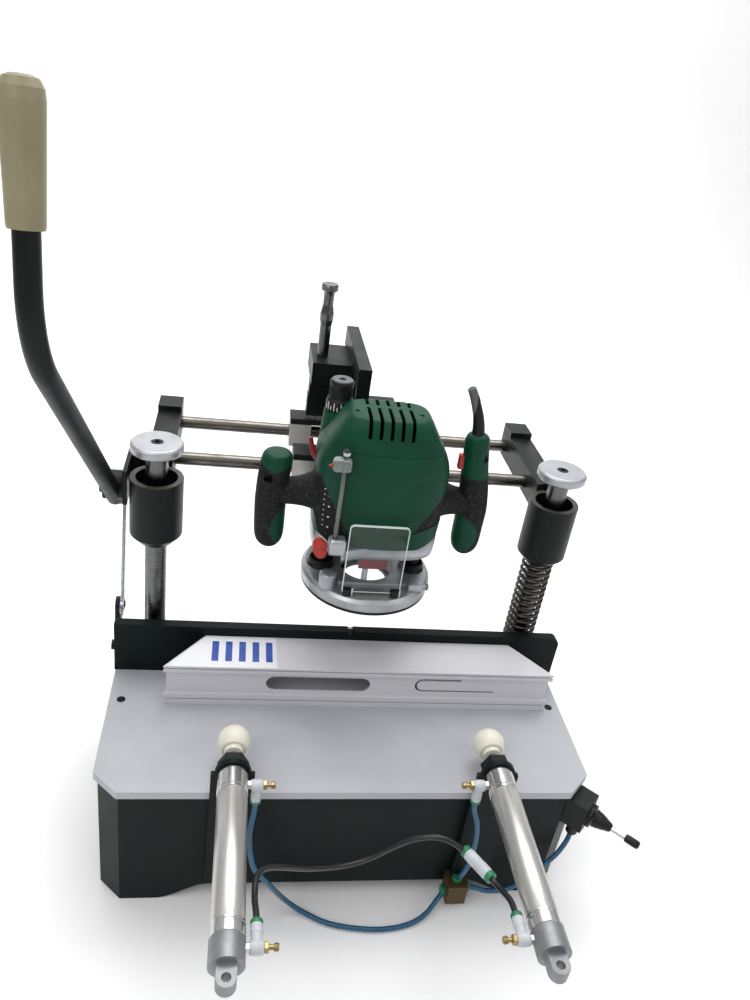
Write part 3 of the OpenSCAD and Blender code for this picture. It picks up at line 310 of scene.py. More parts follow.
def finish(name, slot, colour, second, rough, patch, grain, bump, depth=0.05, metallic=0.0, specular=0.5,
        stretch=(1, 1, 1), cover=(0.3, 0.7), **fixed):
    # rough is the least and the most roughness, patch and grain the sizes in mm of the colour drift and the texture,
    # depth the bump's height in mm, and cover the part of the drift over which the second colour comes in
    mat = bpy.data.materials.new(name)
    mat.use_nodes = True
    tree = mat.node_tree
    tree.nodes.clear()
    place = addNode(tree, "ShaderNodeTexCoord")
    spot = addNode(tree, "ShaderNodeMapping", {"Vector": place.outputs["Object"], "Scale": stretch}).outputs[0]
    drift = addNode(tree, "ShaderNodeTexNoise", {
        "Vector": spot, "Scale": 1000 / patch, "Detail": 4.0, "Roughness": 0.6}).outputs[0]
    fine = addNode(tree, "ShaderNodeTexNoise", {"Vector": spot, "Scale": 1000 / grain, "Detail": 2.0})
    ramp = addNode(tree, "ShaderNodeMapRange", {"Value": drift, "From Min": cover[0], "From Max": cover[1]})
    tint = addNode(tree, "ShaderNodeMixRGB", {
        "Fac": ramp.outputs[0], "Color1": linear(colour), "Color2": linear(second)})
    dull = addNode(tree, "ShaderNodeMapRange", {
        "Value": drift, "From Min": 0.25, "From Max": 0.75, "To Min": rough[0], "To Max": rough[1]})
    relief = addNode(tree, "ShaderNodeBump", {"Height": fine.outputs[0], "Strength": bump, "Distance": depth * mm})
    skin = addNode(tree, "ShaderNodeBsdfPrincipled", {
        "Base Color": tint.outputs[0], "Roughness": dull.outputs[0], "Normal": relief.outputs[0], "Metallic": metallic,
        "Specular IOR Level": specular, **fixed})
    addNode(tree, "ShaderNodeOutputMaterial", {"Surface": skin.outputs[0]})
    return mat


# columns: name, slot, two colours, roughness, then patch, grain, bump and depth
# powder coat: a dark green that is nearly black, with a fine orange peel that breaks up its sheen
powderCoat = finish("powderCoatGreen", "green_sheet", "#0b1312", "#101a18", (0.36, 0.48), 60, 1.6, 0.25, 0.2,
    specular=0.12)
# machine enamel: light grey with a blue tinge, soft sheen and faint rubbing marks
tableEnamel = finish("machineEnamelGrey", "table_grey", "#b1b2b7", "#a6a7ad", (0.42, 0.58), 90, 2.5, 0.12, 0.1)
# ground bar: bright steel with faint grinding lines
groundSteel = finish("groundSteelBar", "steel_bright", "#b9bcc0", "#a5a8ad", (0.16, 0.28), 15, 0.8, 0.06, metallic=1.0,
    stretch=(1, 1, 3))
# black oxide on machined steel: dark, slightly blue, with a dull gloss
blackOxide = finish("blackOxideSteel", "steel_black", "#0d1010", "#161a1a", (0.34, 0.5), 30, 1.2, 0.12, 0.08,
    specular=0.2)
# lighter brownish grey for the bearing housings' top rims: a painted highlight where the light from above falls on them
housingTopHighlight = finish("housingRimPaintedHighlight", "steel_black", "#5f5a52", "#4c4842", (0.4, 0.55), 6, 0.9, 0.15, 0.08, metallic=0.6)
# cross bars: steel gone grey-brown with use, under a thin film of oil
barSteel = finish("oiledSteelBar", "steel_bright", "#76726c", "#625e59", (0.2, 0.34), 22, 0.8, 0.06, metallic=1.0,
    stretch=(1, 3, 3))
# spring wire: dark drawn steel with a soft gloss
springWire = finish("springSteelWire", "steel_bright", "#57514a", "#443f39", (0.26, 0.4), 9, 0.7, 0.08, metallic=1.0)
# anodised aluminium tube: pale silver, even and satin
anodised = finish("anodisedAluminium", "aluminium_silver", "#c6c4bf", "#b8b6b1", (0.28, 0.4), 50, 0.9, 0.05, 0.04,
    metallic=0.8)
# turned aluminium covers: the same silver, brighter and smoother
brightCover = finish("turnedAluminium", "aluminium_silver", "#cfcfce", "#c2c2c1", (0.16, 0.24), 30, 0.9, 0.04, 0.03,
    metallic=0.95)
# die-cast aluminium: greyer, a little mottled, satin
dieCast = finish("dieCastAluminium", "cast_silver", "#b9bbbe", "#a6a9ad", (0.3, 0.46), 25, 1.1, 0.15, 0.1,
    metallic=0.75)
# cast aluminium of the clamp caps: dull, and set a darker grey than the die-cast to paint the shade they stand in
shadedCastGrey = finish("castAluminiumShaded", "cast_silver", "#939597", "#828487", (0.4, 0.55), 18, 1.0, 0.15, 0.08,
    metallic=0.7)
# sintered bronze: warm and dull
bronze = finish("sinteredBronze", "bronze", "#a67c3d", "#8c6630", (0.4, 0.55), 8, 0.7, 0.15, metallic=1.0)
# turned brass: yellow with a soft gloss
brass = finish("turnedBrass", "brass", "#a8976a", "#8f7f57", (0.22, 0.36), 8, 0.7, 0.08, metallic=1.0)
# tarnished brass block: brown, dull
oldBrass = finish("tarnishedBrass", "brass", "#5d4a2c", "#4b3b23", (0.45, 0.6), 8, 0.8, 0.15, 0.08, metallic=0.6)
# moulded ABS with spark-eroded grain: deep green, matt
greenAbs = finish("mouldedAbsGreen", "router_green", "#053a27", "#084430", (0.4, 0.5), 35, 0.9, 0.25, 0.1,
    specular=0.18)
# moulded black ABS: fine grain, low sheen
blackAbs = finish("mouldedAbsBlack", "plastic_black", "#0b0c0d", "#131516", (0.4, 0.55), 25, 0.9, 0.25, 0.1,
    specular=0.3)
# light grey moulded nylon: fittings and coupler
greyNylon = finish("mouldedNylonGrey", "plastic_grey", "#c2c5c8", "#b2b6ba", (0.38, 0.5), 12, 0.9, 0.15, 0.08)
# mid grey moulded ABS: the knob's disc and the mouth of the cord guard
greyAbs = finish("mouldedAbsGrey", "plastic_grey", "#5c6062", "#515557", (0.36, 0.48), 12, 0.9, 0.15, 0.08)
# red ABS: glossy, bright
redAbs = finish("glossAbsRed", "plastic_red", "#b5230f", "#a11e0d", (0.25, 0.35), 20, 1.0, 0.06)
# red ABS darkened to paint shade: the lock lever and the trim under the collar's front
shadedRed = finish("glossAbsRedShaded", "plastic_red", "#8e1a12", "#7b160f", (0.28, 0.38), 20, 1.0, 0.06)
# turned acetal: ivory ball ends, waxy gloss
ivoryAcetal = finish("turnedAcetalIvory", "plastic_beige", "#dfdccf", "#d6d2c2", (0.28, 0.38), 20, 1.0, 0.06,
    **{"Subsurface Weight": 0.1, "Subsurface Scale": 0.004})
# dip-moulded vinyl: the lever's olive-beige grip, smooth with a dull gloss
beigeVinyl = finish("mouldedVinylBeige", "plastic_beige", "#938c6e", "#857e61", (0.34, 0.46), 40, 1.4, 0.12, 0.1)
# polyurethane tube: blue, slightly glossy
blueTube = finish("polyurethaneTubeBlue", "hose_blue", "#205a78", "#1a4f6b", (0.25, 0.35), 30, 1.0, 0.04)
# polyurethane tube: black
blackTube = finish("polyurethaneTubeBlack", "hose_black", "#111213", "#191a1b", (0.28, 0.38), 30, 1.0, 0.04)
# release rings: green acetal
greenAcetal = finish("acetalRingGreen", "router_green", "#157a4c", "#126a42", (0.35, 0.45), 10, 1.0, 0.08)
# rigid vinyl profile: off-white, smooth from the die
profileVinyl = finish("extrudedVinylWhite", "profile_white", "#cfced2", "#c6c5ca", (0.3, 0.4), 80, 1.5, 0.04, 0.04,
    stretch=(0.2, 1, 1))
# protective film: white, glossier than the profile, faintly wrinkled
filmWhite = finish("protectiveFilmWhite", "profile_white", "#e9eaec", "#e1e3e6", (0.16, 0.24), 30, 6.0, 0.08, 0.15)
# print on the film: plain blue stripes
filmBlue = finish("protectiveFilmBlue", "profile_white", "#1f3f9c", "#2a55ad", (0.18, 0.26), 18, 6.0, 0.08, 0.15)
# wound copper under varnish
copperWire = finish("varnishedCopper", "copper", "#8a4b2a", "#6f3a20", (0.3, 0.45), 5, 0.6, 0.2, 0.1, metallic=0.8)
# dark turned steel: the stylus
stylusSteel = finish("turnedSteelDark", "steel_bright", "#5e5f5e", "#747573", (0.2, 0.34), 12, 0.8, 0.08, metallic=1.0)
# clear acrylic: see-through
clearAcrylic = finish("clearAcrylic", "plastic_clear", "#f4f8f8", "#eef3f4", (0.03, 0.06), 40, 2.0, 0.01, 0.02,
    **{"Transmission Weight": 1.0, "IOR": 1.3})
# cut edges of the acrylic: they gather light and look frosty white
frostedEdge = finish("acrylicEdge", "plastic_clear", "#e9f0ef", "#dde6e5", (0.3, 0.4), 10, 1.0, 0.1)
# cloudy acrylic: the pointer block, milky where light passes through it
cloudyAcrylic = finish("cloudyAcrylic", "plastic_clear", "#eef3f3", "#e4ebeb", (0.1, 0.18), 12, 1.0, 0.05,
    **{"Transmission Weight": 0.85, "IOR": 1.45})
# soft-grip elastomer: charcoal with paler flecks about 2 mm across, drawn coarser than life, quite matt
softGrip = finish("softGripElastomer", "rubber_black", "#101112", "#4a4c4e", (0.6, 0.75), 2.4, 1.0, 0.4, 0.2,
    cover=(0.56, 0.74), specular=0.25)
# white print for dial marks
markWhite = finish("markPaintWhite", "plastic_grey", "#e6e7e4", "#dcddd9", (0.45, 0.55), 10, 1.0, 0.05, 0.03)
print("materials made:", len(bpy.data.materials))

# hoses first: routes repeat the solids' own, in mm
hosePlan = dict(diameter=6.0, sides=20, routes=dict(
    hose_front_left=(blueTube, [(-108.5, -242, 191), (-109, -244, 174), (-112, -254, 148), (-106, -262, 112),
    (-92, -262, 88), (-76, -250, 50), (-60, -242, 20), (-42, -245, 6), (-10, -260, 4), (37, -268, 4), (75, -265, 4),
    (100, -256, 8), (116, -243, 16), (128, -231.5, 22)]),
    hose_rear_left=(blackTube, [(-108.5, -395.5, 213), (-109, -382, 211), (-110, -365, 206), (-108, -342, 204),
    (-98, -328, 197), (-80, -318, 184), (-51, -302, 160), (-12, -287, 144), (15, -284, 152), (38, -286, 173),
    (60, -290, 190), (84, -296, 196), (108, -305, 186)]),
    hose_front_right=(blueTube, [(130.5, -242, 191), (132, -243, 175), (138, -246, 158), (142, -247, 130),
    (142, -247, 92), (140, -241, 62), (140, -231.5, 42)]),
    hose_rear_right=(blackTube, [(124, -335, 189), (129, -348, 191), (131, -362, 199), (131, -378, 209),
    (130.5, -395.5, 213)]),
    hose_valve=(blueTube, [(272.9, -215.9, 107), (268, -221, 94), (256, -230, 84), (240, -235, 68), (222, -237, 46),
    (202, -237, 28), (180, -236, 25), (165, -234, 28), (152, -231.5, 28)])))


def layHoses(plan):
    for node, (mat, route) in plan["routes"].items():
        path, length = smoothPath(np.array(route) * mm, 40)
        tube = lofted(node + ".tube", sweptRings(path, plan["diameter"] / 2 * mm, plan["sides"]))
        shown(dressed(tube, mat), "base", node)


layHoses(hosePlan)
print("hoses laid")

# lift spring round the right post, in mm; stroke is how far the yoke presses it down
springPlan = dict(x=236.5, low=180.3, high=351.7, stroke=50.0, outside=40.0, wire=4.5, turns=18, perTurn=28, sides=12)


def windSpring(plan):
    # helix: (R cos a, R sin a, low + wire/2 + pitch a / 2 pi)
    pitch = (plan["high"] - plan["low"] - plan["wire"]) / plan["turns"]
    a = np.linspace(0, plan["turns"] * 2 * pi, plan["turns"] * plan["perTurn"] + 1)
    r = (plan["outside"] - plan["wire"]) / 2
    rise = plan["low"] + plan["wire"] / 2 + pitch * a / (2 * pi)
    path = np.stack([plan["x"] + r * np.cos(a), r * np.sin(a), rise], -1)
    coil = lofted("liftSpringCoil", sweptRings(path * mm, plan["wire"] / 2 * mm, plan["sides"], up=(0, 0, 1)))
    shown(dressed(coil, springWire), "base", "lift_spring")
    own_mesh(coil)


windSpring(springPlan)
print("spring wound")

# machined and folded pieces: the solids' own skin, merged and given broken edges of a width in mm, body by body
edgePlan = dict(
    base=dict(cabinet=(powderCoat, 1.2), table_plate=(tableEnamel, 1.0), fence=(powderCoat, 1.0),
    post_caps=(dieCast, 0.8), link_anchor=(blackOxide, 0.8), clamp_brackets=(powderCoat, 0.8),
    clamp_caps=(shadedCastGrey, 1.0), clamp_nuts=(blackOxide, 0.8), valve_body=(blackAbs, 1.5),
    tee_block=(oldBrass, 1.0)),
    yoke=dict(arm_left=(blackOxide, 1.2), arm_right=(blackOxide, 1.2), housing_left=(blackOxide, 0.8),
    housing_right=(blackOxide, 0.8), lever_bracket=(blackOxide, 0.8)),
    link=dict(pull_link=(groundSteel, 0.6)),
    saddle=dict(saddle_frame=(blackOxide, 1.0), rod_bearings=(anodised, 1.2)),
    head=dict(carrier_plate=(blackOxide, 1.0), tie_block=(blackOxide, 1.2), router_base=(dieCast, 1.4)),
    switch=dict(power_switch=(redAbs, 1.0)))
# the up-facing top faces of these pieces take a lighter metal: painted highlight
highlightCrowns = dict(housing_left=housingTopHighlight, housing_right=housingTopHighlight)  # upper rims in another material


def edgeBevel(piece, width):
    bevel = piece.modifiers.new("brokenEdge", "BEVEL")
    bevel.width = width * mm
    bevel.segments = 2
    bevel.limit_method = "ANGLE"
    bevel.angle_limit = math.radians(35)
    bevel.use_clamp_overlap = True
    bevel.harden_normals = True


def breakEdges(node, mat, width, body):
    data = nodes[node].data.copy()
    work = bmesh.new()
    work.from_mesh(data)
    bmesh.ops.remove_doubles(work, verts=work.verts, dist=2e-6)
    bmesh.ops.dissolve_limit(work, angle_limit=math.radians(1.0), verts=work.verts, edges=work.edges)
    work.to_mesh(data)
    work.free()
    data.materials.clear()
    piece = dressed(placed(node + ".edged", data), mat)
    if node in highlightCrowns:
        dressed(piece, highlightCrowns[node])
        # faces that look straight up at the very top get the painted highlight
        up = np.zeros(len(data.polygons) * 3)
        data.polygons.foreach_get("normal", up)
        mid = faceMiddles(piece)[:, 2]
        paint(piece, (up[2::3] > 0.95) & (mid > mid.max() - 1))
    edgeBevel(piece, width)
    return shown(piece, body, node, crease=30)


for body, group in edgePlan.items():
    for node, (mat, width) in group.items():
        breakEdges(node, mat, width, body)
print("edges broken on", sum(map(len, edgePlan.values())), "pieces")

# solids whose shape is right as it is
plainPlan = dict(base_screws=blackOxide, guide_posts=stylusSteel, post_bushes=bronze, cross_rods=barSteel,
    lever_tube=blackOxide, lever_grip=beigeVinyl, depth_rods=groundSteel, sole_plate=blackAbs, plunge_columns=blackAbs,
    stylus_pin=stylusSteel, motor_stator=copperWire, spindle=groundSteel, collet_nut=groundSteel, cutter=groundSteel)
for node, mat in plainPlan.items():
    nodes[node].data.materials.clear()
    dressed(nodes[node], mat)
print("solids dressed:", len(plainPlan))

# places on the router that several pieces share: x and y in mm
spindleAt, rodAt, knobAt, stopAt = (12.5, -20.0), (-37.5, -78.0), (-40.5, 4.0), (-38.5, -66.5)
columnsAt = ((-42.5, -20.0), (67.5, -20.0))

# motor housing: superellipse sections |x/a|^p + |y/b|^p = 1 from the collar to the top; a dark band swoops down each
# side to the front. Rows are a height and a half width, or a height and the front's or the rear's distance from y = 0
motorPlan = dict(power=3.6, around=176, wall=3.0, foot=398.2, waist=470.0, seam=516.0, top=554.0, shift=3.0,
    bandRight=48.8,
    bandLeft=-14.0,                  levels=[(398.2, 72), (410, 73), (424, 74), (440, 74.8), (460, 75.2), (480, 75.2),
    (496, 73.6), (508, 69.6), (518, 64.6), (528, 59.2), (537, 54.4), (544, 50.4), (549.5, 46.8), (552.6, 43.6),
    (553.8, 41), (554, 38)],
    front=[(398, 70), (424, 71.4), (480, 72), (508, 71.6), (521, 71), (532, 69.8), (541, 67.8), (548, 64.8),
    (552.6, 61), (554, 55)],
    rear=[(398, 30), (424, 31.4), (480, 32), (496, 30.6), (508, 26.6), (520, 19.6), (532, 11.4), (542, 4), (549, -1.4),
    (552.6, -5), (554, -9)],
    vents=5, ventMid=9.5, ventPitch=11.6, ventHalf=2.0, frontVent=(533.0, 570.0),
    topVents=((-82.0, -30.0), (-24.0, -4.0)),
    holes=((-26.8, -42.0), (43.9, -42.0)), holeRadius=2.6)


def spread(rows, count=260):
    # a smooth line through the rows, kept rising in its first column
    line = smoothPath([(h, w, 0) for h, w in rows], count)[0][:, :2]
    line[:, 0] = np.maximum.accumulate(line[:, 0]) + np.arange(count) * 1e-7
    return line


motorWide, motorFront, motorRear = (spread(motorPlan[k]) for k in ("levels", "front", "rear"))


def motorAt(a, z, off=0.0):
    # the housing's skin at angle a and height z, moved out by off, in mm; towards the top the rear leans forward
    # and the middle moves to the left
    wide = np.interp(z, motorWide[:, 0], motorWide[:, 1]) + off
    front, rear = (np.interp(z, line[:, 0], line[:, 1]) for line in (motorFront, motorRear))
    deep, midY = (front + rear) / 2 + off, (rear - front) / 2
    midX = spindleAt[0] - motorPlan["shift"] * smoothStep((z - motorPlan["waist"]) / 80)
    k = 2 / motorPlan["power"]
    c, s = np.cos(a), np.sin(a)
    x, y = midX + wide * np.sign(c) * np.abs(c) ** k, midY + deep * np.sign(s) * np.abs(s) ** k
    return np.stack([x, y, z + 0 * a], -1)


def motorFoot(x):
    # the lower edge rises by 10 mm on the flanks
    return motorPlan["foot"] + 10 * smoothStep((np.abs(x - spindleAt[0]) - 44) / 28)


def evenAngles(count):
    # angles that step evenly along the section's outline
    a = np.linspace(0, 2 * pi, 4001)
    p = motorAt(a, np.full(len(a), motorPlan["waist"]))
    run = np.concatenate([[0], np.cumsum(np.linalg.norm(np.diff(p, axis=0), axis=1))])
    return np.interp(np.linspace(0, run[-1], count, endpoint=False), run, a)


def motorSkin(plan):
    a = evenAngles(plan["around"])
    x = motorAt(a, np.full(len(a), plan["waist"]))[:, 0]
    foot, seam, top = motorFoot(x), plan["seam"], plan["top"]
    left, right = plan["bandLeft"] - x, x - plan["bandRight"]
    start = 400 + 20 * smoothStep((x - plan["bandLeft"]) / 60)
    low = np.maximum(start + np.clip(right * 0.3, 0, 10) + 28 * smoothStep((left - 40) / 8), foot + 0.3)
    high = np.maximum(start + np.clip(right * 1.5, 0, 58) + np.clip(left * 1.8, 0, 78), low)
    wide = np.clip((high - low) / 12, 0, 1)
    skirt, band, flank, groove = 8, 17, 25, 0.6  # rows below, in and above the band, and half of the seam's width
    t1, t2 = np.linspace(0, 1, skirt + 1)[:-1, None], np.linspace(0, 1, band)[:, None]
    t3, t4 = np.linspace(0, 1, flank + 1)[1:, None], np.linspace(0, 1, 24)[1:, None]
    level = np.ones((1, len(a)))
    z = np.vstack([foot + (low - foot) * t1, low + (high - low) * t2, high + (seam - groove - high) * t3, seam * level,
        (seam + groove) * level, (seam + groove + (top - seam - groove) * (1 - (1 - t4) ** 2.2)) * level])
    off = np.zeros_like(z)
    inBand, above = slice(skirt, skirt + band), slice(skirt + band, skirt + band + flank)
    off[inBand] = -1.4 * wide * np.clip(np.minimum(t2, 1 - t2) / 0.06, 0, 1)
    # a shallow swelling on the front ends in a curve like a smile
    smile = 480 + 0.005 * (x - 13) ** 2
    front = np.clip((-np.sin(a) - 0.75) / 0.15, 0, 1)
    off[above] = 1.1 * front * smoothStep((z[above] - smile) / 5) * (1 - smoothStep((z[above] - 496) / 14))
    off[above.stop] = -groove
    skin = motorAt(np.broadcast_to(a, z.shape), z, off)
    hub = skin[-1].mean(axis=0)
    lid = hub + (skin[-1] - hub)[None] * np.array([0.75, 0.5, 0.25, 0.05])[:, None, None]
    rings = np.concatenate([skin, lid])
    shell = dressed(newMesh("motorSkin", rings * mm, ringFaces(*rings.shape[:2])), greenAbs, softGrip)
    dark = np.zeros(len(shell.data.polygons))
    dark[skirt * len(a):(inBand.stop - 1) * len(a)] = np.tile((wide > 0.04) | (np.roll(wide, -1) > 0.04), band - 1)
    paint(shell, dark)
    fairNormals(shell)
    # the inner wall is black ABS: painted shade for the dark that shows through the vents
    shadeLining = lofted("motorShadeLining", motorAt(a[None], np.linspace(411, 550.5, 40)[:, None], -plan["wall"]) * mm)
    shadeLining.data.flip_normals()
    shell = joined("motorShell", [shell, dressed(shadeLining, blackAbs)])
    xs = plan["ventMid"] + (np.arange(plan["vents"]) - (plan["vents"] - 1) / 2) * plan["ventPitch"]
    half, r = plan["ventHalf"], plan["holeRadius"]
    fronts = [prism("vent", slotOutline(v, *plan["frontVent"], half), -95, -56, "y") for v in xs]
    tops = [prism("vent", slotOutline(v, *row, half), 541, 570) for v in xs for row in plan["topVents"]]
    tops += [prism("hole", slotOutline(hx, hy - r, hy + r, r), 535, 570) for hx, hy in plan["holes"]]
    cutAway(shell, joined("frontVents", fronts), joined("topVents", tops))
    return shown(shell, "motor", "motor_housing", crease=38)


motorSkin(motorPlan)
print("motor housing made")


# depth scale on the dark band: small pale marks in two columns; angles in degrees, the rest in mm
scalePlan = dict(low=420.0, high=466.0, ticks=8, sink=-1.6, thick=0.4)


def scaleMark(plan, a0, a1, z, half):
    # a thin plate that follows the housing's skin from angle a0 to a1 and from z - half to z + half
    a = np.radians(np.linspace(a0, a1, 9))
    skin = lambda way, h, off: motorAt(a[::way], np.full(len(a), h), off)
    ring = lambda h: np.concatenate([skin(1, h, plan["sink"] + plan["thick"]), skin(-1, h, plan["sink"])])
    return dressed(lofted("tick", np.stack([ring(z - half), ring(z + half)]) * mm), markWhite)


marks = []
for k, z in enumerate(np.linspace(scalePlan["low"], scalePlan["high"], scalePlan["ticks"])):
    marks.append(scaleMark(scalePlan, 216.5, 218.4, z, 0.55))
    if k % 2 == 0:
        marks.append(scaleMark(scalePlan, 226, 228.8 if k < 6 else 227.4, z, 0.8))
shown(joined("depthScale", marks), "motor")

# collar: a silver ring that carries the housing and follows its lower edge, with bores and black sleeves for the
# columns, a notch over the stop post, and a lug and a web for the gauge rod
collarPlan = dict(low=384.0, plate=392.0, around=160, bore=24.0, columnRadius=9.4, notchRadius=12.6, notchTop=389.0,
    lug=((-44.2, -86, 396), (-25, -69, 416)), rodRadius=3.3,
    web=[(-28, -80), (-22, -77.6), (-14, -74.6), (-6, -72.4), (2, -71), (2, -66), (-28, -66)],
    sleeve=[(9.5, 368.4), (11.6, 368.4), (12.1, 369), (12.1, 384.4), (9.5, 384.4)])


def drum(name, at, radius, low, high, sides=48):
    # an upright cylinder that cuts a bore
    return stack(name, [(dieCast, [(radius, low), (radius, high)])], at=(*at, 0), sides=sides)


def collarRing(plan):
    # rings of the housing's own section, moved in or out, and circles of the bore
    a = evenAngles(plan["around"])
    low, level, bore = plan["low"], plan["plate"], plan["bore"]
    height = np.full(len(a), motorPlan["foot"])
    ring = lambda off, z: np.column_stack([motorAt(a, height, off)[:, :2], np.broadcast_to(z, len(a))])
    hole = lambda z: np.column_stack([spindleAt[0] + bore * np.cos(a), spindleAt[1] + bore * np.sin(a), z + 0 * a])
    top = motorFoot(ring(0, 0)[:, 0])
    wall = [ring(-1.2, low), ring(0.2, low + 1.4), ring(1.0, low + 6), ring(1.2, top - 1.2), ring(0.6, top - 0.2),
        ring(-0.6, top + 0.3), ring(-6, top + 0.3), ring(-6, low)]
    disc = [ring(-5, low), ring(-5, level), hole(level), hole(low)]
    body, plate = (dressed(lofted("collarPart", np.stack(r) * mm, wrap=True), dieCast) for r in (wall, disc))
    bores = [drum("columnBore", at, plan["columnRadius"], 360, 400) for at in columnsAt]
    cutAway(body, drum("notch", stopAt, plan["notchRadius"], 370, plan["notchTop"]))
    cutAway(plate, drum("notch", stopAt, plan["notchRadius"], 370, 395), *bores)
    lug = softened(slab("gaugeLug", *plan["lug"], 0.0, dieCast), 4.0, 4)
    cutAway(lug, drum("rodBore", rodAt, plan["rodRadius"], 380, 430, 24))
    web = softened(prism("gaugeWeb", plan["web"], 386.5, 399.5, "z", dieCast), 1.4)
    sleeves = [stack("columnSleeve", [(blackAbs, plan["sleeve"])], at=(*at, 0)) for at in columnsAt]
    return shown(joined("plungeCollar", [body, plate, lug, web, *sleeves]), "motor", "plunge_collar", crease=40)


collarRing(collarPlan)
print("collar made")

# wing screw: a red oval that stands off the lug on a short hub
wingPlan = dict(at=(-53.2, rodAt[1], 402.0), wide=8.2, tall=13.6, thick=5.6, tilt=15.0)


def wingScrew(plan):
    t = np.arange(40) * 2 * pi / 40
    outline, half = np.column_stack([plan["wide"] * np.cos(t), plan["tall"] * np.sin(t)]), plan["thick"] / 2
    oval = softened(prism("wingOval", outline, -half, half, "y", redAbs), 1.9)
    turn = Matrix.Rotation(math.radians(-plan["tilt"]), 4, "Y")
    oval.data.transform(Matrix.Translation(Vector(plan["at"]) * mm) @ turn)
    hub = stack("wingHub", [(redAbs, [(4.6, -50.5), (4.6, -46.4), (4.0, -45.8)]),
        (groundSteel, [(2.5, -46), (2.5, -44.4)])], axis=(1, 0, 0), at=(0, *plan["at"][1:]), sides=32)
    return shown(joined("wingScrew", [oval, hub]), "wing", "wing_screw")


wingScrew(wingPlan)

# boss under the fine setting knob, standing out of the left shoulder
bossProfile = [(12, 502), (18.8, 502), (18.4, 510), (17.4, 522), (16.6, 532.5), (15.8, 534.2), (8, 534.2)]
shown(stack("knobBoss", [(greenAbs, bossProfile)], at=(*knobAt, 0), sides=72), "motor")

# red lock lever on the left flank and red trim under the collar's front, both in the red darkened to paint shade
leverPath = smoothPath([(-58, -16, 478), (-64.5, -13, 486), (-68, -10, 495), (-69.5, -8, 503)], 18)[0]
lockLever = lofted("lockLever", sweptRings(leverPath * mm, np.linspace(3.8, 2.6, 18) * mm, 24))
shown(dressed(lockLever, shadedRed), "motor")
shown(slab("collarTrim", (-5, -66.5, 369.5), (29, -63, 385.5), 0.8, shadedRed), "motor")

# side handles: round sections along an upright line, a neck that flares into the housing. Rows are a height, the
# centre's distance from the spindle and a radius; panel is the green patch's angle, half width, height, half height
handlePlan = dict(sides=72, neck=dict(end=113, run=47, z=440), left=dict(side=-1, rows=[
    (366.2, 119.5, 1), (367.6, 119.6, 7), (371.5, 119.8, 12), (378, 120, 15.6), (388, 120.2, 17.2), (404, 120.6, 17.6),
    (424, 121, 17.9), (444, 120.6, 17.9), (460, 119.6, 17.9), (472, 118.4, 17.8), (480, 117.6, 17.4),
    (485, 117.2, 16.2), (487.6, 117, 14.2), (488.6, 117, 11.6), (489, 117, 6), (489, 117, 1)],
    top=469, lean=7, panel=(0, 88, 397, 29), hole=((-118.5, -46, 457.5), (-109.5, -29, 469))),
    right=dict(side=1, rows=[
    (370.2, 115, 1), (371.6, 115, 7), (375.5, 115, 12), (382, 115, 15.6), (392, 115, 17.2), (408, 115, 17.6),
    (432, 115, 17.9), (450, 113.6, 17.4), (470, 111, 16.6), (490, 108.2, 15.4), (506, 106.2, 14.8), (518, 105.2, 14.4),
    (524, 105, 13), (527, 105, 10.6), (528.4, 105, 7), (528.8, 105, 1)],
    top=477, lean=0, panel=(8, 108, 401, 28), hole=((126, -34, 497.5), (140, -24, 507.5))))


def gripHandle(plan, key):
    spec = plan[key]
    path = smoothPath(floats(spec["rows"]), 110)[0]
    x, y = spindleAt
    centre = np.column_stack([x + spec["side"] * path[:, 1], np.full(len(path), y), path[:, 0]])
    a = np.arange(plan["sides"]) * 2 * pi / plan["sides"]
    rings = centre[:, None] + path[:, 2, None, None] * np.stack([np.cos(a), np.sin(a), 0 * a], -1)[None]
    grip = lofted(key + "Grip", rings * mm)
    # neck: ellipses whose half height and half depth grow with the cube of the way in
    reach = np.linspace(0, 1, 30)
    half = np.stack([0 * reach, 15.5 + 17 * reach ** 3, 15.8 + 11 * reach ** 3], -1)
    run = plan["neck"]["end"] - plan["neck"]["run"] * reach
    line = np.column_stack([x + spec["side"] * run, np.full(30, y), plan["neck"]["z"] + 5 * reach ** 2])
    neck = lofted(key + "Neck", (line[:, None] + half[:, None] * np.stack([0 * a, np.cos(a), np.sin(a)], -1)) * mm)
    for piece in (grip, neck):
        dressed(piece, greenAbs, softGrip)
    mid = faceMiddles(grip)
    axisX = x + spec["side"] * np.interp(mid[:, 2], path[:, 0], path[:, 1])
    # the angle round the grip: 0 faces the housing, 90 the front
    turn = np.degrees(np.arctan2(-(mid[:, 1] - y), -(mid[:, 0] - axisX) * spec["side"]))
    start, span, height, rise = spec["panel"]
    panel = ((turn - start) / span) ** 2 + ((mid[:, 2] - height) / rise) ** 2 < 1
    soft = (mid[:, 2] < spec["top"] + spec["lean"] * np.abs(mid[:, 0] - axisX) / 17) & ~panel
    paint(grip, soft)
    paint(neck, np.ones(len(neck.data.polygons)))
    # the cutter's black ABS lines the bolt hole: painted shade in the pocket
    cutAway(grip, slab("boltHole", *spec["hole"], 0.0, blackAbs))
    return shown(joined(key + "Handle", [grip, neck]), "motor", "handle_" + key, crease=50)


gripHandle(handlePlan, "left")
gripHandle(handlePlan, "right")
print("handles made")

# cord guard: a smooth tapering sleeve that curves inward, grey towards its mouth
guardPlan = dict(route=[(116.8, -20, 523), (115.4, -20, 535), (112.8, -20, 547), (108.6, -20, 559), (103.6, -20, 571),
    (98.4, -20, 581)],
    foot=8.0, tip=4.6, grey=0.7, mouth=[(3.9, -0.5), (3.9, 0.6), (3.3, 0.9), (2.6, 0.9), (2.4, -0.2)])


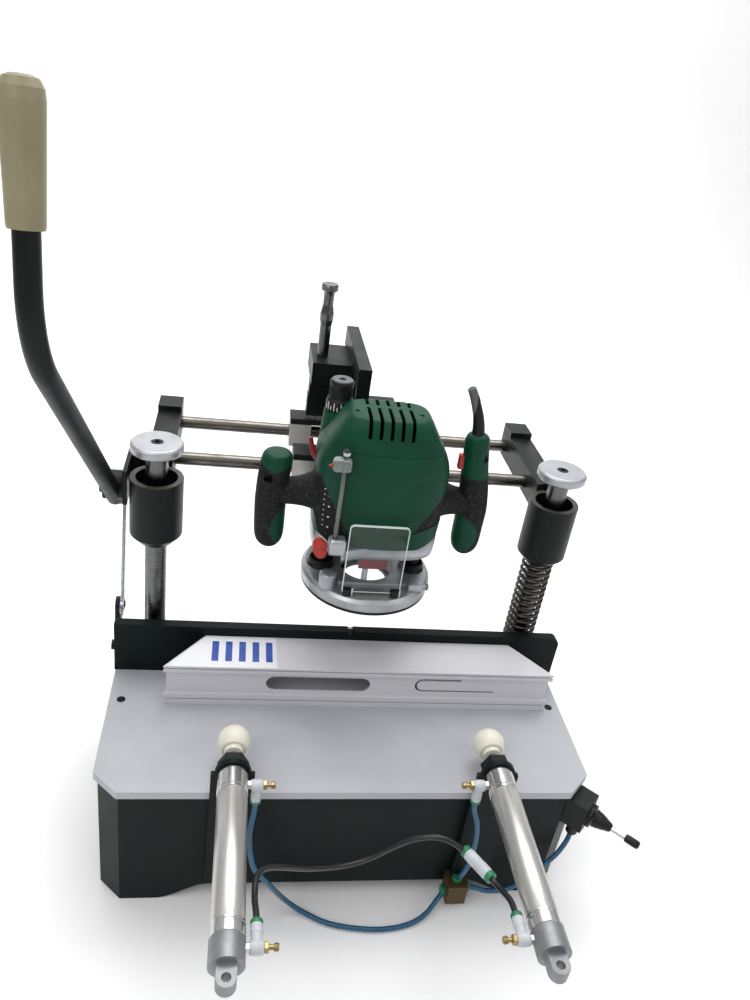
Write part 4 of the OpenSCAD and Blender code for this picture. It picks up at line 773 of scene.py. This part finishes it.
def cordGuard(plan):
    path = smoothPath(plan["route"], 120)[0]
    t = np.linspace(0, 1, 120)
    radius = plan["foot"] + (plan["tip"] - plan["foot"]) * t ** 0.7 + 0.3 * (t > plan["grey"])
    sleeve = lofted("guardSleeve", sweptRings(path * mm, radius * mm, 36, up=(0, 1, 0)))
    dressed(sleeve, blackAbs, greyAbs)
    paint(sleeve, np.interp(-faceMiddles(sleeve)[:, 0], -path[:, 0], t) > plan["grey"])
    mouth = stack("guardMouth", [(greyAbs, plan["mouth"])], axis=path[-1] - path[-3], at=path[-1], sides=36)
    return shown(joined("cordGuard", [sleeve, mouth]), "motor", "cord_guard", crease=40)


cordGuard(guardPlan)

# fine setting knob: black skirt with white marks, waist, grey disc on top with a hexagon socket, its floor painted
# black as shade
knobPlan = dict(marks=24, grips=30, socket=4.2, socketFloor=568.4, body=[
    (9, 535), (14.6, 535), (15, 535.6), (15, 546.4), (14.2, 547.4), (13.2, 548.4), (12.8, 550), (12.8, 562.4),
    (13.2, 563.4), (13.4, 565), (13.4, 567.4), (12.6, 568.6), (6, 568.6)],
    disc=[(1.0, 567.8), (11.6, 567.8), (11.6, 569.4), (11, 570), (1.0, 570)])


def fineKnob(plan):
    x, y = knobAt
    low, wide = plan["socketFloor"], plan["socket"]
    body, disc = (stack("knobPart", [(mat, plan[key])], at=(x, y, 0), sides=72)
        for mat, key in ((blackAbs, "body"), (greyAbs, "disc")))
    cutAway(disc, turned("knobSocket", np.array([(wide, low), (wide, 572.0)]) * mm, 6, at=(x * mm, y * mm, 0)))
    # the socket's floor takes black ABS: painted shade in the hexagon's recess
    dressed(disc, blackAbs)
    mid = faceMiddles(disc)
    dark = (np.abs(mid[:, 2] - low) < 0.2) & (np.hypot(*(mid[:, :2] - knobAt).T) < wide)
    paint(disc, np.where(dark, len(disc.data.materials) - 1, 0))
    marks = [slab("knobMark", (14.8, -0.45, 536.5), (15.25, 0.45, 541.5 if k % 2 else 545.5), 0.0, markWhite)
        for k in range(plan["marks"])]
    ribs = [slab("knobRib", (12.3, -0.55, 550.4), (13.3, 0.55, 562.0), 0.25, blackAbs, 1) for k in range(plan["grips"])]
    for group in (marks, ribs):
        for k, piece in enumerate(group):
            turn = Matrix.Rotation(2 * pi * k / len(group), 4, "Z")
            piece.data.transform(Matrix.Translation((x * mm, y * mm, 0)) @ turn)
    return shown(joined("fineKnob", [body, disc, *marks, *ribs]), "knob", "fine_knob")


fineKnob(knobPlan)

# depth gauge: steel rod, clear pointer block with a red arrow, small steel nut on top
gaugePlan = dict(rod=[(2.2, 394.2), (2.7, 395), (2.7, 525.2), (2.2, 526)],
    nut=[(2.6, 518.4), (4.2, 518.4), (4.2, 522), (2.6, 522)])


def depthGauge(plan):
    x, y = rodAt
    rod = stack("gaugeRod", [(stylusSteel, plan["rod"]), (groundSteel, plan["nut"], 6)], at=(x, y, 0), sides=32)
    block = slab("gaugeBlock", (x - 13, y - 8, 500), (x + 7, y + 5.2, 515), 4.0, cloudyAcrylic)
    pointer = [(x - 17.5, 507), (x - 12.6, 504.4), (x - 12.6, 509.6)]
    arrow = prism("gaugeArrow", pointer, y - 4, y - 2.6, "y", redAbs)
    return shown(joined("depthGauge", [rod, block, arrow]), "gauge", "depth_gauge")


depthGauge(gaugePlan)

# chip shield: clear plate with round upper corners, frosty cut edges and two feet
shieldPlan = dict(x0=-23.0, x1=44.0, y0=-83.0, y1=-80.0, z0=348.0, z1=436.0, corner=5.0, edge=0.9, feet=(-17.0, 38.0))


def shieldOutline(plan, inset):
    x0, z0 = plan["x0"] + inset, plan["z0"] + inset
    x1, z1, r = (plan[key] - inset for key in ("x1", "z1", "corner"))
    a = np.linspace(0, pi / 2, 10)
    right = np.column_stack([x1 - r + r * np.cos(a), z1 - r + r * np.sin(a)])
    left = np.column_stack([x0 + r - r * np.sin(a), z1 - r + r * np.cos(a)])
    return np.vstack([[(x1, z0)], right, left, [(x0, z0)]])


def chipShield(plan):
    outer, inner = shieldOutline(plan, 0.0), shieldOutline(plan, plan["edge"])
    y0, y1 = plan["y0"], plan["y1"]
    pane = prism("shieldPane", inner, y0 + 0.4, y1 - 0.4, "y", clearAcrylic)
    lift = lambda flat, y: np.insert(flat, 1, y, axis=1)
    rings = np.stack([lift(outer, y0), lift(outer, y1), lift(inner, y1), lift(inner, y0)])
    rim = dressed(lofted("shieldRim", rings * mm, wrap=True), frostedEdge)
    feet = []
    for x in plan["feet"]:
        feet.append(slab("shieldFoot", (x - 4.5, -87, 344.0), (x + 4.5, -78.5, 352.5), 1.2, blackAbs))
        feet.append(slab("shieldClip", (x + 4.6, -86.5, 344.0), (x + 6.4, -79, 355), 0.5, brightCover))
    return shown(joined("chipShield", [pane, rim, *feet]), "head", "chip_shield")


chipShield(shieldPlan)

# stop post, column feet and the small castings on the base
shown(stack("stopPost", [(dieCast, [(10, 344), (10, 360.2), (9.2, 361.4), (8, 362), (2.4, 362), (2.4, 358)], 10)],
    at=(*stopAt, 0)), "head", "stop_turret")
footProfile = [(9.2, 343.6), (16, 343.6), (16, 346), (15, 347), (14.6, 352), (13.6, 353), (12.6, 353), (12.6, 344.2),
    (9.2, 344.2)]
for at in columnsAt:
    shown(stack("columnFoot", [(blackAbs, footProfile)], at=(*at, 0), sides=56), "head")
shown(slab("baseRidge", (-26, -63, 343.6), (60, -58.5, 347), 1.2, dieCast), "head")
shown(slab("basePad", (1, -93, 343.6), (30, -88.5, 344.7), 0.4, dieCast), "head")
guide = [slab("guideBlock", (56, -73, 343.6), (74, -62, 352.5), 1.6, dieCast)]
guide.append(stack("guideScrew", [(groundSteel, [(2.6, 0), (2.6, 3.5)]),
    (groundSteel, [(4.2, 3.4), (4.2, 6.6), (3.4, 7.2)], 6)],
    axis=(1, 0, 0), at=(73.8, -67.5, 348.4), sides=32))
shown(joined("guideClamp", guide), "head")
print("router fittings made")

# air clamps: barrels with bright covers, ball-ended rods, swivel fittings with green rings and brass screws
clampPlan = dict(
    xs=(-133.5, 155.5), z=213.0, ports=(-242.0, -417.5), radius=15.5, reach=9.5, ball=(18, -182),
    tube=[(15, -253), (15.5, -254), (15.5, -396.5), (15, -397.5)],
    nose=[(9, -219), (9, -228.6), (15, -229), (16, -230), (16, -250.6), (15.3, -251.2), (15.3, -252.6), (16, -253.2),
    (16, -254.6), (15.2, -255.2)],
    tail=[(15.2, -395.6), (16, -396.2), (16, -398), (15.4, -398.6), (15.4, -400), (16, -400.6), (16, -409.4),
    (15.4, -410)],
    neck=[(6, -199.9), (9.6, -199.9), (10, -199.4), (10, -194)],
    rod=[(4.6, -335), (5, -334), (5, -196)], piston=[(12.4, -339.9), (12.4, -330.1)])
fittingHead = [(brightCover, [(4.6, 0.2), (4.6, 3.4)], 6), (greyNylon, [(5, 3.2), (5.8, 4), (6.2, 6), (6.2, 13),
    (5.8, 15), (5, 15.8)]), (brass, [(5, 16.2), (5, 19.4), (4.4, 20)], 6), (brass, [(2.3, 19.8), (2.3, 24.5)]),
    (brass, [(3.4, 24.3), (3.6, 25), (3.6, 27.8), (3, 28.6)], 8)]
fittingPort = [(greyNylon, [(4.4, 3), (5.2, 5), (5.2, 11.6), (5.7, 12.2), (5.7, 20), (5.2, 21.2), (4, 21.4)]),
    (greenAcetal, [(3.1, 21.2), (5.5, 21.2), (5.7, 22), (5.7, 24.4), (5.1, 25.4), (3.1, 25.4)])]


def clampSet(plan):
    # the front port of a fitting points down, the rear one to the front
    z = plan["z"]
    size, mid = plan["ball"]
    barrels, fittings = [], []
    arc = [(size * math.cos(t), mid + size * math.sin(t)) for t in np.radians(np.linspace(-44, 76, 26))]
    for x, side, s in zip(plan["xs"], ("left", "right"), (1, -1)):
        line = dict(axis=(0, 1, 0), at=(x, 0, z))
        barrels.append(stack("barrel", [(anodised, plan["tube"]), (brightCover, plan["nose"]),
            (brightCover, plan["tail"])], **line, sides=72))
        rod = stack("pistonRod", [(ivoryAcetal, plan["neck"] + arc), (groundSteel, plan["rod"]),
            (groundSteel, plan["piston"])], **line, sides=64)
        shown(rod, "piston_" + side, "piston_" + side)
        for y, down in zip(plan["ports"], ((0, 0, -1), (0, 1, 0))):
            out = x + s * plan["radius"]
            fittings.append(stack("fittingHead", fittingHead, axis=(s, 0, 0), at=(out, y, z), sides=32))
            fittings.append(stack("fittingPort", fittingPort, axis=down, at=(out + s * plan["reach"], y, z), sides=32))
    shown(joined("clampBarrels", barrels), "base", "clamp_barrels")
    shown(joined("airFittings", fittings), "base", "air_fittings")


clampSet(clampPlan)

# inline coupler, tee rings and the valve's stick
couplerEnds = np.array([(108, -305, 186), (124, -335, 189)], float)
couplerLong = float(np.linalg.norm(couplerEnds[1] - couplerEnds[0]))
halfSleeve = [(4.5, 1), (6, 2), (6.5, 4), (6.5, couplerLong / 2 - 1.2), (6.1, couplerLong / 2 - 0.6)]
endRing = [(3.1, -4), (5.8, -4), (6.3, -3), (6.3, 1), (5.4, 1.8), (3.1, 1.8)]


def otherEnd(profile):
    return [(radius, couplerLong - along) for radius, along in profile[::-1]]


shown(stack("inlineCoupler", [(greyNylon, halfSleeve + otherEnd(halfSleeve)), (greenAcetal, endRing),
    (greenAcetal, otherEnd(endRing))],
    axis=couplerEnds[1] - couplerEnds[0], at=couplerEnds[0], sides=40), "base", "inline_coupler")
teeRing = [(greenAcetal, [(3.1, -0.5), (6, -0.5), (6.2, 1), (6.2, 4), (5.4, 5), (3.1, 5)])]
teePorts = (((140, -231.5, 42), (0, 0, 1)), ((128, -231.5, 22), (-1, 0, 0)), ((152, -231.5, 28), (1, 0, 0)))
shown(joined("teeRings", [stack("teeRing", teeRing, axis=way, at=at, sides=32) for at, way in teePorts]), "base")
stickOut = (math.sqrt(0.5), -math.sqrt(0.5), 0)
bellows = [(4, 0.2), (10.8, 1.4), (10.6, 3), (9.9, 4), (10.2, 5.4), (9.4, 7), (9.6, 8.4), (8.4, 10.4), (8.4, 12),
    (7, 15), (5.2, 21), (3.4, 23)]
stickTip = [(3.2, 39.6), (4.4, 40.4), (4.7, 42), (4.9, 48), (4.6, 55), (3.6, 56.6), (2, 57)]
shown(stack("valveStick", [(blackAbs, bellows), (brightCover, [(3, 22), (3, 41)]), (blackAbs, stickTip)],
    axis=stickOut, at=(285.85, -228.85, 146), sides=40), "valve_stick", "valve_lever")
shown(stack("valveRing", [(brass, [(7.2, -0.2), (9, -0.2), (9, 2), (7.2, 2)])],
    axis=(0, 0, -1), at=(272.9, -215.9, 126.6), sides=40), "base")
print("air line made")

# sample profile: hollow section with mitred ends, two lips with a line along each, a milled slot and a milled hook
profilePlan = dict(x0=-218.0, x1=258.0, front=-91.3, web=-87.3, rear=-33.3, low=180.0, high=238.0, wall=2.5, mitre=38.0,
    lips=((180.0, 197.0, 188.6), (228.4, 238.0, 234.4)),
    slot=((-98.0, 28.0), (201.5, 222.5)), hook=((84.0, 186.0, 142.0), (203.8, 223.8), 2.6))


def windowProfile(plan):
    lean = math.tan(math.radians(plan["mitre"]))
    ends = lambda y: (plan["x0"] + (y - plan["front"]) * lean, plan["x1"] - (y - plan["front"]) * lean)
    corners = lambda y0, y1: [(ends(y0)[0], y0), (ends(y0)[1], y0), (ends(y1)[1], y1), (ends(y1)[0], y1)]
    plate = lambda name, y0, y1, z0, z1: prism(name, corners(y0, y1), z0, z1, "z", profileVinyl)
    w, web = plan["wall"], plan["web"]
    cutter = lambda name, outline: prism(name, outline, web - 3, web + w + 2, "y", profileVinyl)
    box = plate("profileBox", web, plan["rear"], plan["low"], plan["high"])
    (sx0, sx1), (sz0, sz1) = plan["slot"]
    (hx0, hx1, hx2), (hz0, hz1), line = plan["hook"]
    turn = np.linspace(pi / 2, 3 * pi / 2, 15)
    mid, far = (hz0 + hz1) / 2, (hz1 - hz0) / 2
    arc = lambda r, way: np.column_stack([hx0 + far + r * np.cos(turn), mid + r * np.sin(turn)])[::way]
    hook = np.vstack([[(hx2, hz1)], arc(far, 1), [(hx1, hz0), (hx1, hz0 + line)], arc(far - line, -1),
        [(hx2, hz1 - line)]])
    slot = slotOutline((sz0 + sz1) / 2, sx0, sx1, (sz1 - sz0) / 2, 15)[:, ::-1]
    inner = ((-400, web + w, plan["low"] + w), (400, plan["rear"] - w, plan["high"] - w))
    cutAway(box, slab("hollow", *inner, 0.0, profileVinyl), cutter("slot", slot), cutter("hook", hook))
    pieces = [box]
    for z0, z1, zLine in plan["lips"]:
        lip = plate("profileLip", plan["front"], web + 0.3, z0, z1)
        groove = ((-400, plan["front"] - 3, zLine - 0.9), (400, plan["front"] + 3.0, zLine + 0.9))
        cutAway(lip, slab("lipLine", *groove, 0.0, profileVinyl))
        pieces.append(lip)
    piece = joined("sampleProfile", pieces)
    edgeBevel(piece, 0.5)
    return shown(piece, "base", "sample_profile", crease=30)


windowProfile(profilePlan)

# protective film on the profile's left end: a white sheet with plain blue stripes across it
filmPlan = dict(height=238.06, sheet=[(-214.5, -90.5), (-87, -90.5), (-87, -34.2), (-170.5, -34.2)],
    stripes=range(-164, -91, 16), wide=8, front=-80, rear=-44)


def layFilm(plan):
    z, y0, y1 = plan["height"], plan["front"], plan["rear"]
    film = [prism("filmSheet", plan["sheet"], z, z + 0.12, mat=filmWhite)]
    for x0 in plan["stripes"]:
        x1 = x0 + plan["wide"]
        film.append(prism("filmStripe", [(x0, y0), (x1, y0), (x1, y1), (x0, y1)], z + 0.13, z + 0.2, mat=filmBlue))
    return shown(joined("profileFilm", film), "base")


layFilm(filmPlan)
print("film laid")


# room: pale floor that sweeps up behind the part, soft studio light from above, dimmer round the horizon; in metres.
# A softbox is its place, what it looks at, its size and its power in watts
studioPlan = dict(half=5, front=-5, bend=2.2, radius=0.9, wall=3.6, horizon=0.3, overhead=0.72, boxes=dict(
    keySoftbox=((-1.2, -1.4, 2.2), (0, 0, 0.25), 1.6, 18), fillSoftbox=((1.6, -1.2, 1.4), (0, 0, 0.25), 1.6, 5),
    topSoftbox=((0.2, 0.6, 2.4), (0, 0, 0.3), 1.6, 20), wallSoftbox=((0, 1.2, 2.8), (0, 3.0, 0.5), 2.6, 60)))


def studio(plan):
    # the floor's line in y and z: flat, a quarter circle, a wall
    a = np.linspace(0, pi / 2, 24)
    r, bend = plan["radius"], plan["bend"]
    line = np.vstack([[(plan["front"], 0)], np.column_stack([bend + r * np.sin(a), r - r * np.cos(a)]),
        [(bend + r, plan["wall"])]]) - (0, 0.0005)
    strip = np.concatenate([np.insert(line, 0, x, axis=1) for x in (-plan["half"], plan["half"])])
    k, n = np.arange(len(line) - 1), len(line)
    floor = newMesh("paleFloor", strip, np.column_stack([k, k + 1, k + n + 1, k + n])[:, ::-1])
    dressed(floor, finish("paleFloorPaint", "profile_white", "#fbfbfb", "#f8f8f8", (0.6, 0.7), 400, 4, 0.02, 0.1))
    world = bpy.data.worlds.new("studioWorld")
    scene.world = world
    world.use_nodes = True
    tree = world.node_tree
    way = addNode(tree, "ShaderNodeTexCoord").outputs["Generated"]
    sky = addNode(tree, "ShaderNodeMapRange", {
        "Value": addNode(tree, "ShaderNodeSeparateXYZ", {0: way}).outputs[2], "From Min": 0.0, "From Max": 0.9,
        "To Min": plan["horizon"], "To Max": plan["overhead"]})
    tree.links.new(sky.outputs[0], tree.nodes["Background"].inputs["Strength"])
    tree.nodes["Background"].inputs["Color"].default_value = linear("#fdfdff")
    for name, (place, aim, size, power) in plan["boxes"].items():
        lamp = bpy.data.lights.new(name, "AREA")
        lamp.energy = power
        lamp.size = size
        box = placed(name, lamp)
        box.location = place
        box.rotation_euler = (Vector(aim) - Vector(place)).to_track_quat("-Z", "Y").to_euler()
    scene.view_settings.view_transform = "Standard"


studio(studioPlan)
print("studio lit")
